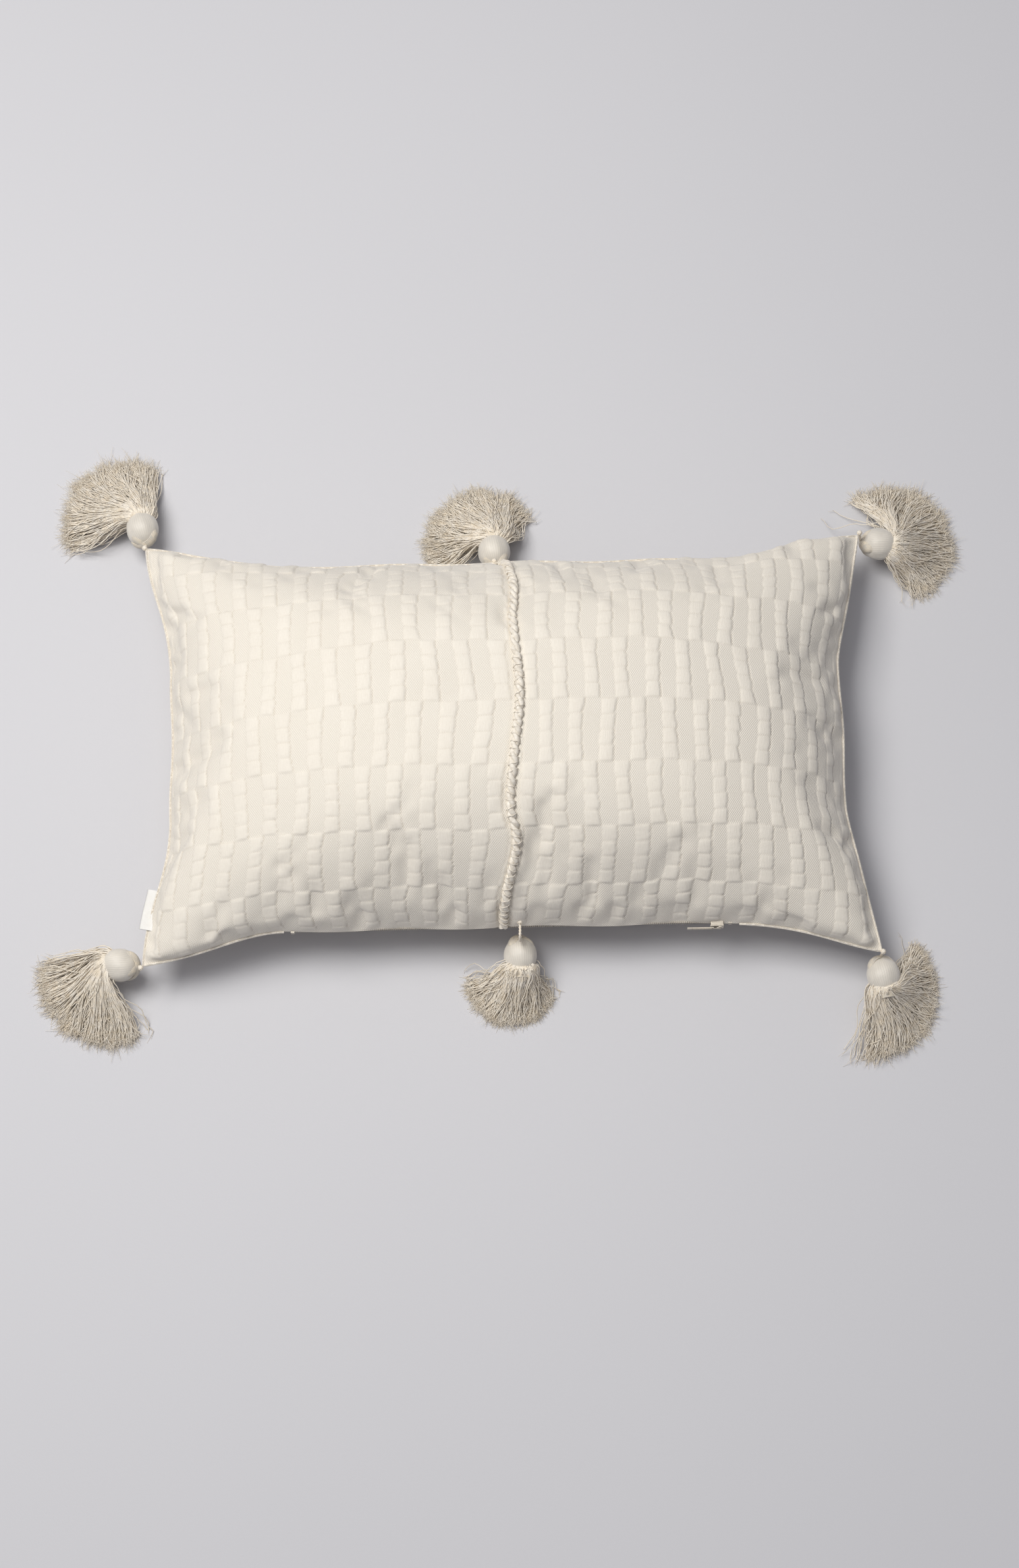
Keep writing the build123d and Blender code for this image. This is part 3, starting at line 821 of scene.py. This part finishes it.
class PILLOW_OT_joining_seam(bpy.types.Operator):
    """Work the rope of stitches that joins the two front panels"""

    bl_idname = "pillow.joining_seam"
    bl_label = "Joining Seam"

    def execute(self, context):
        s = sizes()
        rope = spun_yarn("rope_cotton", colours().rope, colours().cotton_shade, 420.0)
        along, centre, side, up = seam_line(420)
        path = centre + up * 0.0007
        plies = twisted(path, side, up, s.rope * 0.72, ROPE_PITCH, 2, swell=0.13, squash=0.85, seed=5)
        mesh = yarn_mesh("joining_rope", plies, s.rope, 4)
        piece("joining_rope", mesh, rope, "pillow", "seam_rope", "centre_seam_cord")
        rng = np.random.RandomState(RNG_SEED)
        threads = []
        for i in range(8, len(along) - 8, 6):
            lower = along[i] < 0.03
            reach = 0.0033 if lower else 0.0030
            slant = int(rng.choice([-2, -1, 1, 2])) if lower else int(rng.randint(3, 6))
            if not lower and rng.rand() < 0.45:
                continue
            arc = np.linspace(0, math.pi, 9)
            steps = np.clip(np.rint(i + slant * np.cos(arc)).astype(int), 0, len(along) - 1)
            tall = 0.0037 + rng.uniform(-0.0003, 0.0002)
            thread = centre[steps] - side[steps] * (reach * np.cos(arc))[:, None]
            threads.append(thread + up[steps] * (tall * np.sin(arc) ** 0.7 - 0.0002)[:, None])
        mesh = yarn_mesh("wrapping_threads", threads, FINE_THREAD, 1)
        thread = spun_yarn("fine_thread", colours().rope, colours().cotton_shade, 600.0)
        piece("wrapping_threads", mesh, thread, "pillow", "seam_thread", "centre_seam_wrapping")
        return {"FINISHED"}


def seam_loop(count):
    """The edge seam, round the pillow from its lower left corner, with its outward direction."""
    lines = []
    t = np.linspace(-1, 1, count + 1)[:-1]
    for u, v in ((t, -np.ones_like(t)), (np.ones_like(t), t), (-t, np.ones_like(t)), (-np.ones_like(t), -t)):
        x, y, z = outline(u, v)
        lines.append(np.stack([x, y, z], axis=-1))
    path = np.concatenate(lines)
    ahead = unit(np.roll(path, -1, axis=0) - np.roll(path, 1, axis=0))
    out = unit(np.cross(ahead, np.array([0.0, 0.0, 1.0])))
    return path, out


class PILLOW_OT_edge_seam(bpy.types.Operator):
    """Sew the welt round the edge and its running stitches"""

    bl_idname = "pillow.edge_seam"
    bl_label = "Edge Seam"

    def execute(self, context):
        path, out = seam_loop(240)
        at_zip = (path[:, 1] < -0.12) & (np.abs(path[:, 0]) < ZIP_HALF)
        keep = np.nonzero(~at_zip)[0]
        start = int(np.nonzero(np.diff(keep) > 1)[0][0]) + 1
        order = np.concatenate([keep[start:], keep[:start]])
        welt = path[order] + out[order] * WELT_OUT
        mesh = yarn_mesh("edge_welt", [welt], WELT, 3)
        piece("edge_welt", mesh, cover_welt(), "pillow", "plain_cotton")
        rng = np.random.RandomState(RNG_SEED + 1)
        stitches = []
        for i in range(2, len(order) - 4, 3):
            spots = order[i : i + 3]
            if np.linalg.norm(path[spots[-1]] - path[spots[0]]) > 0.02:
                continue
            line = path[spots] + out[spots] * (WELT_OUT + rng.uniform(-1, 1) * 0.0001)
            for rise in (STITCH_RISE, -STITCH_RISE):
                stitches.append(line + np.array([0, 0, 1.0]) * rise)
        mesh = yarn_mesh("edge_stitching", stitches, FINE_THREAD, 0)
        thread = spun_yarn("edge_thread", colours().rope, colours().cotton_shade, 600.0)
        piece("edge_stitching", mesh, thread, "pillow", "seam_thread", "edge_seam_stitches")
        return {"FINISHED"}


def cover_welt():
    return spun_yarn("welt_cotton", colours().cotton, colours().cotton_shade, 900.0)


class PILLOW_OT_label(bpy.types.Operator):
    """Sew the folded ribbon label into the left side"""

    bl_idname = "pillow.label"
    bl_label = "Label"

    def execute(self, context):
        joint = JOINTS["label_flap_bend"]
        root = np.array(joint["pos_m"])
        along = unit(np.array(joint["axis"]))
        out = np.array([-along[1], along[0], 0.0])
        low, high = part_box("side_label")
        middle = (np.array(low) + np.array(high)) / 2
        width = LABEL_FLAT[0]
        turn = np.linspace(0, 1, 33)
        straight = np.clip(turn * 2, 0, 1) - np.clip(turn * 2 - 1, 0, 1)
        lift = np.where(turn < 0.5, 1, -1) * LABEL_GAP / 2 * np.clip((1 - straight) * 6, 0, 1) ** 0.5
        across = np.linspace(-0.5, 0.5, 25)
        curl = 0.0007 * np.cos(across * 5.0 + 0.6)
        table = np.zeros((25, 33, 3))
        for i, t in enumerate(across):
            start = root + along * (t * width + (middle - root) @ along)
            table[i] = start + out * (0.0006 + straight * LABEL_REACH)[:, None]
            table[i, :, 2] += lift + straight * curl[i]
        uv = np.stack(np.meshgrid(across * width, turn * 0.018, indexing="ij"), axis=-1)
        mesh = cloth_mesh("side_label_ribbon", table, uv, False)
        ribbon = ribbon_cloth("satin_ribbon", colours().ribbon)
        ob = piece(mesh.name, mesh, ribbon, "label", "label_ribbon", "side_label")
        return {"FINISHED"}


class PILLOW_OT_zip(bpy.types.Operator):
    """Close the lower edge with a coil zip, its slider and its pull"""

    bl_idname = "pillow.zip"
    bl_label = "Zip"

    def execute(self, context):
        tint = colours()
        tape = tape_cloth("zip_tape_cloth", tint.zip)
        metal = enamel("zip_enamel", tint.zip)
        for node in ("zip_tape_front", "zip_tape_back"):
            frame["nodes"][node].data.materials.clear()
            frame["nodes"][node].data.materials.append(tape)
        for node in ("zip_top_stop", "zip_bottom_stop"):
            frame["nodes"][node].data.materials.clear()
            frame["nodes"][node].data.materials.append(metal)
        for half in ("front", "back"):
            low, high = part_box(f"zip_coil_{half}")
            radius = (high.z - low.z) / 2 - 0.0002
            turns = int((high.x - low.x) / COIL_PITCH)
            angle = np.linspace(0, 2 * math.pi * turns, turns * 8)
            x = np.linspace(low.x + 0.0005, high.x - 0.0005, len(angle))
            y = (low.y + high.y) / 2 + radius * np.cos(angle)
            z = (low.z + high.z) / 2 + radius * np.sin(angle)
            mesh = yarn_mesh(f"zip_coil_{half}_teeth", [np.stack([x, y, z], axis=-1)], COIL_WIRE, 0)
            piece(mesh.name, mesh, metal, "pillow", "zip_coil", f"zip_coil_{half}")
        self.slider(metal)
        self.pull(metal)
        return {"FINISHED"}

    def bar(self, bm, low, high, bevel):
        """A bar with rounded edges between two corners."""
        low, high = Vector(low), Vector(high)
        matrix = Matrix.Translation((low + high) / 2) @ Matrix.Diagonal((*(high - low), 1))
        made = bmesh.ops.create_cube(bm, size=1.0, matrix=matrix)
        edges = list({edge for vert in made["verts"] for edge in vert.link_edges})
        shape = {"segments": 3, "profile": 0.5, "affect": "EDGES", "material": -1, "clamp_overlap": True}
        bmesh.ops.bevel(bm, geom=edges, offset=bevel, **shape)

    def slider(self, metal):
        low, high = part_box("zip_slider")
        pin = joint_place("zip_pull_swing")
        bm = bmesh.new()
        face = high.y - 0.0033
        self.bar(bm, (low.x, face - 0.0012, low.z), (high.x, face, high.z), 0.0004)
        for below, above in ((low.z, low.z + 0.0012), (high.z - 0.0012, high.z)):
            self.bar(bm, (low.x + 0.0003, face - 0.0003, below), (high.x - 0.0003, high.y, above), 0.0003)
        for below, above in ((pin.z - 0.0028, pin.z - 0.0020), (pin.z + 0.0020, pin.z + 0.0028)):
            self.bar(bm, (pin.x - 0.0011, low.y, below), (pin.x + 0.0011, face - 0.0010, above), 0.0003)
        place = Matrix.Translation(pin)
        pin_size = {"radius1": 0.0005, "radius2": 0.0005, "depth": 0.0048}
        bmesh.ops.create_cone(bm, cap_ends=True, segments=20, matrix=place, **pin_size)
        mesh = mesh_from(bm, "zip_slider_body")
        piece(mesh.name, mesh, metal, "zip_slider", "zip_metal", "zip_slider")

    def pull(self, metal):
        low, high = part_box("zip_pull")
        pin = joint_place("zip_pull_swing")
        bm = bmesh.new()
        place = Matrix.Translation((pin.x, pin.y, low.z + 0.0003))
        bmesh.ops.create_circle(bm, segments=24, radius=0.0009, matrix=place)
        ring = bmesh.ops.extrude_edge_only(bm, edges=bm.edges)["geom"]
        verts = [part for part in ring if isinstance(part, bmesh.types.BMVert)]
        bmesh.ops.translate(bm, vec=(0, 0, high.z - low.z - 0.0006), verts=verts)
        bmesh.ops.recalc_face_normals(bm, faces=bm.faces)
        bmesh.ops.solidify(bm, geom=bm.faces, thickness=0.0003)
        middle = (low.z + high.z) / 2
        slot = 0.0009
        near, far = pin.y - 0.0009, pin.y - 0.0001
        bars = [(low.x, low.x + 0.0035, low.z, high.z)]
        for below, above in ((low.z, middle - slot), (middle + slot, high.z)):
            bars.append((low.x + 0.003, pin.x - 0.0020, below, above))
        bars.append((pin.x - 0.0045, pin.x - 0.0007, low.z, high.z))
        for left, right, below, above in bars:
            self.bar(bm, (left, near, below), (right, far, above), 0.0003)
        mesh = mesh_from(bm, "zip_pull_tab")
        piece(mesh.name, mesh, metal, "zip_pull", "zip_metal", "zip_pull")


# ---- tassels ---------------------------------------------------------------

# the way each head points, the way its skirt fans and half the spread of the fan, in degrees,
# how far it reaches at the right end, the left end and the middle, and how curly it is
TASSELS = {
    "top_left": (102, 135, 50, 0.055, 0.054, 0.063, 0.5),
    "top_centre": (95, 120, 64, 0.043, 0.044, 0.055, 1.4),
    "top_right": (-5, 28, 76, 0.043, 0.046, 0.055, 1.2),
    "bottom_left": (176, 227, 54, 0.054, 0.048, 0.053, 0.8),
    "bottom_centre": (270, 256, 52, 0.039, 0.031, 0.042, 0.9),
    "bottom_right": (277, 331, 74, 0.054, 0.037, 0.040, 1.0),
}
ROUND_THE_ZIP = ((-0.1375, 0.0525), (-0.138, 0.041), (-0.1315, 0.037))
CROWN_YARN = 0.00055  # radius
TIE_YARN = 0.00050  # radius
TIE_RADIUS = 0.0059
CORD_PLY = 0.00052  # radius
CORD_PITCH = 0.0042
KNOT_RADIUS = 0.0015
KNOT_YARN = 0.00045  # radius
HEAD_SEGMENTS = 132
WINDINGS = 44  # ridges of thread round a head
SKIRT_LOCKS = 52
SKIRT_POINTS = 13


def heading(degrees):
    turn = math.radians(degrees)
    return np.array([math.cos(turn), math.sin(turn), 0.0])


class Tassel:
    """Where one tassel's parts go, from the frame."""

    def __init__(self, name):
        self.name = name
        self.way = heading(TASSELS[name][0])
        self.fan, self.spread, *self.reaches, self.curl = TASSELS[name][1:]
        self.side = np.array([-self.way[1], self.way[0], 0.0])
        self.up = np.array([0.0, 0.0, 1.0])
        low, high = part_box(f"tassel_{name}_head")
        self.centre = (np.array(low) + np.array(high)) / 2
        self.radius = (high.z - low.z) / 2
        self.long = 0.0125
        self.knot = np.array(joint_place(f"tassel_{name}_lift"))
        self.crown = np.array(joint_place(f"tassel_{name}_turn"))
        self.body = f"tassel_{name}"
        self.seed = 40 + list(TASSELS).index(name)

    def node(self, part):
        return f"tassel_{self.name}_{part}"

    def reach(self, share):
        """How far the skirt goes from the head's centre, share being -1 to 1 across its fan."""
        right, left, middle = self.reaches
        return middle + (left - right) / 2 * share + ((left + right) / 2 - middle) * share * share

    def turned(self, places):
        """Moves places from head axes (way, side, up) to the frame."""
        places = np.asarray(places)
        return self.centre + places @ np.stack([self.way, self.side, self.up])


def head_mesh(tassel):
    """A wound ball whose threads run from pole to pole."""
    rings = 44
    theta = np.linspace(0.03, math.pi - 0.03, rings + 1)
    phi = np.linspace(0, 2 * math.pi, HEAD_SEGMENTS + 1)
    t, p = np.meshgrid(theta, phi, indexing="ij")
    rng = np.random.RandomState(tassel.seed)
    phase = rng.uniform(0, 6, 4)
    lay = np.sin(WINDINGS * p + 3.0 * t)
    ridge = 1 + 0.004 * lay * np.sin(t) + 0.008 * np.sin(9 * p + 1.5 * t + phase[0]) * np.sin(t) ** 2
    ridge += 0.016 * np.sin(3 * p + 2 * t + phase[1])
    radius = tassel.radius * 0.985
    pear = 1 + 0.05 * np.cos(t)
    x = -np.cos(t) * tassel.long
    y = np.sin(t) ** 0.92 * np.cos(p) * radius * ridge * pear
    z = np.sin(t) ** 0.92 * np.sin(p) * radius * ridge * pear
    places = tassel.turned(np.stack([x, y, z], axis=-1))
    uv = np.stack([p / (2 * math.pi), t], axis=-1)
    mesh = cloth_mesh(tassel.node("head") + "_ball", places, uv, False)
    bm = bmesh.new()
    bm.from_mesh(mesh)
    bmesh.ops.remove_doubles(bm, verts=bm.verts, dist=1e-6)
    rims = [edge for edge in bm.edges if edge.is_boundary]
    bmesh.ops.holes_fill(bm, edges=rims, sides=0)
    bmesh.ops.recalc_face_normals(bm, faces=bm.faces)
    bm.to_mesh(mesh)
    bm.free()
    return smooth(mesh)


def crown_strands(tassel):
    """Two broad bands of thread that cross over the head's crown and dive under its windings."""
    rng = np.random.RandomState(tassel.seed + 100)
    strands = []
    for bundle, tilt in ((0, rng.uniform(15, 40)), (1, -rng.uniform(25, 55))):
        c, s = math.cos(math.radians(tilt)), math.sin(math.radians(tilt))
        for k in range(11):
            lane = (k - 5) / 5
            arc = np.linspace(-1.25, 1.25, 21)
            y = np.sin(arc)
            x = -np.cos(arc) * 0.9 - 0.12
            z = lane * 0.36 * (0.55 + 0.45 * np.cos(arc * 1.2))
            places = np.stack([x, c * y - s * z, s * y + c * z], axis=-1)
            places = unit(places) * np.array([tassel.long, tassel.radius, tassel.radius])
            proud = 1.075 + 0.085 * bundle - 0.085 * lane**2
            dive = 1 - 0.19 * (np.abs(arc) / 1.25) ** 4
            strands.append(tassel.turned(places * (proud * dive)[:, None]))
    return strands


def neck_coil(tassel):
    """Turns of yarn tied round the neck."""
    turns = 4
    angle = np.linspace(0, 2 * math.pi * turns, turns * 20)
    x = tassel.long + 0.0004 + np.linspace(0, 0.0030, len(angle))
    places = np.stack([x, TIE_RADIUS * np.cos(angle), TIE_RADIUS * np.sin(angle)], axis=-1)
    return [tassel.turned(places)]


def skirt_path(tassel, share, lift, rng, reach, bend):
    """One yarn, out of the neck, over the tie and down on the floor."""
    turn = share * tassel.spread
    around = math.atan2(share * 1.25, lift * 2 - 0.9) + rng.normal(0, 0.28)
    aside, rise = math.sin(around), math.cos(around)
    way = heading(tassel.fan + turn)
    sway = heading(tassel.fan + turn + 90)
    back = 0.0035 * abs(share) ** 2
    start = tassel.turned([0.0086 - back, (0.0070 + back * 0.5) * aside, 0.0070 * rise])
    out = tassel.turned([0.0142 - back * 1.6, (0.0118 + back) * aside, 0.0118 * rise + 0.0010])
    mid = tassel.centre + way * reach * rng.uniform(0.48, 0.62) + sway * bend * reach
    end = tassel.centre + way * reach
    mid[2] = 0.0014 + 0.0175 * lift ** 0.9
    end[2] = 0.0006 + 0.0062 * lift * rng.uniform(0.3, 1.0)
    t = np.linspace(0, 1, SKIRT_POINTS)[:, None]
    return (1 - t) ** 3 * start + 3 * (1 - t) ** 2 * t * out + 3 * (1 - t) * t * t * mid + t**3 * end, sway


def skirt_strands(tassel):
    """Hundreds of yarns in locks that share a bend, and the finer ends that they fray into."""
    rng = np.random.RandomState(tassel.seed + 200)
    t = np.linspace(0, 1, SKIRT_POINTS)
    yarns, frays = [], []
    for lock in range(SKIRT_LOCKS):
        middle = (lock + rng.uniform(0, 1)) / SKIRT_LOCKS * 2 - 1
        layer = rng.rand()
        bend = rng.normal(0, 0.055) * (0.6 + tassel.curl)
        long = rng.uniform(0.95, 1.05) * (1 - 0.08 * layer)
        waves = rng.uniform(3, 8)
        phase = rng.uniform(0, 6.28)
        width = rng.uniform(0.0010, 0.0028) * (0.5 + tassel.curl)
        for _ in range(rng.randint(18, 26)):
            loose = rng.rand() < 0.10
            share = middle + rng.normal(0, 0.06 if not loose else 0.22)
            lift = float(np.clip(layer + rng.normal(0, 0.13), 0, 1))
            reach = tassel.reach(float(np.clip(share, -1, 1))) * long * rng.uniform(0.94, 1.03)
            line, sway = skirt_path(tassel, share, lift, rng, reach, bend + rng.normal(0, 0.03))
            own = np.sin(t * rng.uniform(7, 19) + rng.uniform(0, 6.28)) * 0.0010
            shared = np.sin(t * waves + phase) * width
            line = line + sway * ((own * (1 + loose * 2) + shared) * t)[:, None]
            line[:, 2] += np.sin(t * rng.uniform(4, 9) + phase) * t * 0.0010
            line[:, 2] = np.maximum(line[:, 2], 0.0005)
            yarns.append((line, (1 + 0.15 * np.sin(t * 5 + phase)) * (1 - 0.25 * t**4)))
            ahead = line[-1] - line[-2]
            for _ in range(2):
                off = rng.normal(0, 0.24, 3) * np.linalg.norm(ahead)
                steps = np.linspace(0, 1, 3)[:, None]
                fray = line[-1] + (ahead * 0.45 + off) * steps + off * steps**2 * 0.8
                fray[:, 2] = np.maximum(fray[:, 2], 0.0003)
                frays.append((fray, np.linspace(0.50, 0.2, 3)))
    return yarns + frays


def stray_loops(tassel):
    """A few long yarns that curl and cross over the top of the skirt."""
    rng = np.random.RandomState(tassel.seed + 300)
    strands = []
    t = np.linspace(0, 1, 26)
    for _ in range(int(6 + 9 * tassel.curl)):
        share = rng.uniform(-0.95, 0.95)
        way = heading(tassel.fan + share * tassel.spread)
        sway = heading(tassel.fan + share * tassel.spread + 90)
        around = share * 1.2
        root = tassel.turned([0.0095, 0.0075 * math.sin(around), 0.0078 * math.cos(around)])
        reach = tassel.reach(share) * rng.uniform(0.5, 0.95)
        curl = rng.uniform(0.004, 0.011) * rng.choice([-1, 1])
        loops = rng.uniform(3, 7.5)
        out = (reach - 0.012) * t - 0.004 * np.sin(t * loops) * tassel.curl * t
        line = root + way * out[:, None] + sway * (curl * np.sin(t * loops) * t)[:, None]
        top = np.interp(t, [0, 0.18, 0.5, 1], [root[2], root[2] + 0.0025, 0.0195, 0.0065])
        line[:, 2] = top + 0.0016 * np.sin(t * 5 + share * 6) * t
        strands.append((line, np.full(26, 0.9)))
    return strands


def wound_knot(centre, radius, seed):
    """A small ball of wound yarn."""
    t = np.linspace(0, 2 * math.pi, 160)
    tall = np.sin(7 * t + seed)
    ring = np.sqrt(np.maximum(1 - tall**2, 0))
    places = np.stack([ring * np.cos(3 * t), ring * np.sin(3 * t), tall], axis=-1)
    return centre + places * radius


class PILLOW_OT_tassels(bpy.types.Operator):
    """Make the six tassels: knots, cords, wound heads, ties and skirts"""

    bl_idname = "pillow.tassels"
    bl_label = "Tassels"

    def execute(self, context):
        tint = colours()
        skirt = spun_yarn("skirt_yarn", tint.yarn, tint.yarn_shade, 210.0)
        satin = satin_winding("head_satin", tint.satin, tint.yarn)
        strand = spun_yarn("crown_strands_yarn", tint.satin, tint.yarn_shade, 300.0, 0.6, 0.35)
        cord = spun_yarn("cord_yarn", tint.yarn, tint.yarn_shade, 500.0)
        for name in TASSELS:
            tassel = Tassel(name)
            ball = head_mesh(tassel)
            piece(ball.name, ball, satin, tassel.body, "tassel_head", tassel.node("head"))
            crossing, coil = crown_strands(tassel), neck_coil(tassel)
            self.yarns(tassel, "crown_wrap", "_strands", crossing, CROWN_YARN, 2, strand, "tassel_head")
            self.yarns(tassel, "neck_tie", "_coil", coil, TIE_YARN, 2, strand, "tassel_head")
            yarns = skirt_strands(tassel) + stray_loops(tassel)
            self.yarns(tassel, "skirt", "_yarns", yarns, sizes().yarn, 0, skirt, "tassel_skirt")
            self.cord(tassel, cord)
        return {"FINISHED"}

    def yarns(self, tassel, part, suffix, strands, radius, sides, material, slot):
        mesh = yarn_mesh(tassel.node(part) + suffix, strands, radius, sides)
        piece(mesh.name, mesh, material, tassel.body, slot, tassel.node(part))

    def cord(self, tassel, material):
        points = [tassel.knot, tassel.crown]
        if tassel.name == "bottom_centre":
            points[1:1] = [np.array([tassel.knot[0], y, z]) for y, z in ROUND_THE_ZIP]
        points = np.array(points, float)
        ahead = unit(points[1] - points[0])
        points[0] = points[0] + ahead * 0.0018
        points[-1] = points[-1] + tassel.way * 0.0008
        line = catmull(points, 12 if len(points) > 2 else 40)
        side, up = frame_of(line)
        plies = twisted(line, side, up, 0.00048, CORD_PITCH, 2)
        mesh = yarn_mesh(tassel.node("cord") + "_twist", plies, CORD_PLY, 2)
        piece(mesh.name, mesh, material, tassel.body + "_cord", "tassel_cord", tassel.node("cord"))
        knot = wound_knot(tassel.knot, KNOT_RADIUS, tassel.seed)
        mesh = yarn_mesh(tassel.node("knot") + "_wound", [knot], KNOT_YARN, 1, closed=True)
        piece(mesh.name, mesh, material, "pillow", "tassel_cord", tassel.node("knot"))


# ---- stage -----------------------------------------------------------------

CAMERA_PLACE = (-0.0143, -0.699, 2.237)
CAMERA_TILT = 17.0
CAMERA_ROLL = -1.3
CAMERA_LENS = 77.3
FLOOR_HALF = 12.0
WORLD_TINT = (0.90, 0.91, 1.0, 1.0)
WORLD_STRENGTH = 0.25
# each lamp's name, place, size, power and tint; both aim at the pillow
LAMPS = (
    ("window", (-0.72, 0.26, 1.95), 1.0, 36.5, (1.0, 0.985, 0.955)),
    ("overhead", (-0.1, 0.0, 2.9), 1.6, 8.5, (0.97, 0.98, 1.0)),
)


class PILLOW_OT_stage(bpy.types.Operator):
    """Set the floor, the lights and the camera"""

    bl_idname = "pillow.stage"
    bl_label = "Stage"

    def execute(self, context):
        scene = context.scene
        bm = bmesh.new()
        bmesh.ops.create_grid(bm, x_segments=1, y_segments=1, size=FLOOR_HALF)
        mesh = mesh_from(bm, "floor")
        floor = bpy.data.objects.new("floor", mesh)
        mesh.materials.append(paper_floor("floor_paper", colours().floor))
        scene.collection.objects.link(floor)
        camera = bpy.data.cameras.new("camera")
        camera.lens = CAMERA_LENS
        camera.sensor_width = 36.0
        camera.sensor_fit = "AUTO"
        view = bpy.data.objects.new("camera", camera)
        view.location = CAMERA_PLACE
        view.rotation_euler = (math.radians(CAMERA_TILT), 0.0, math.radians(CAMERA_ROLL))
        scene.collection.objects.link(view)
        scene.camera = view
        for lamp in LAMPS:
            self.lamp(scene, *lamp)
        world = bpy.data.worlds.new("studio")
        world.use_nodes = True
        sky = world.node_tree.nodes["Background"].inputs
        sky["Color"].default_value = WORLD_TINT
        sky["Strength"].default_value = WORLD_STRENGTH
        scene.world = world
        scene.view_settings.view_transform = "Standard"
        return {"FINISHED"}

    def lamp(self, scene, name, place, size, power, tint):
        light = bpy.data.lights.new(name, "AREA")
        light.size = size
        light.energy = power
        light.color = tint
        ob = bpy.data.objects.new(name, light)
        ob.location = place
        ob.rotation_euler = (-Vector(place)).to_track_quat("-Z", "Y").to_euler()
        scene.collection.objects.link(ob)


OPERATORS = (
    PILLOW_OT_front,
    PILLOW_OT_back,
    PILLOW_OT_insert,
    PILLOW_OT_joining_seam,
    PILLOW_OT_edge_seam,
    PILLOW_OT_label,
    PILLOW_OT_zip,
    PILLOW_OT_tassels,
    PILLOW_OT_stage,
)


class PILLOW_PT_panel(bpy.types.Panel):
    """Lists the sizes, the colours and the steps"""

    bl_label = "Pillow"
    bl_idname = "PILLOW_PT_panel"
    bl_space_type = "VIEW_3D"
    bl_region_type = "UI"
    bl_category = "Pillow"

    def draw(self, context):
        for group in (context.scene.pillow_sizes, context.scene.pillow_colours):
            column = self.layout.column()
            for key in group.bl_rna.properties.keys():
                if key not in ("rna_type", "name"):
                    column.prop(group, key)
        for operator in OPERATORS:
            self.layout.operator(operator.bl_idname)


CLASSES = (PillowSizes, PillowColours, *OPERATORS, PILLOW_PT_panel)


def register():
    for cls in CLASSES:
        bpy.utils.register_class(cls)
    bpy.types.Scene.pillow_sizes = bpy.props.PointerProperty(type=PillowSizes)
    bpy.types.Scene.pillow_colours = bpy.props.PointerProperty(type=PillowColours)


def unregister():
    del bpy.types.Scene.pillow_colours
    del bpy.types.Scene.pillow_sizes
    for cls in reversed(CLASSES):
        bpy.utils.unregister_class(cls)


def main():
    register()
    for operator in OPERATORS:
        getattr(bpy.ops.pillow, operator.bl_idname.split(".")[1])()


if __name__ == "__main__":
    main()
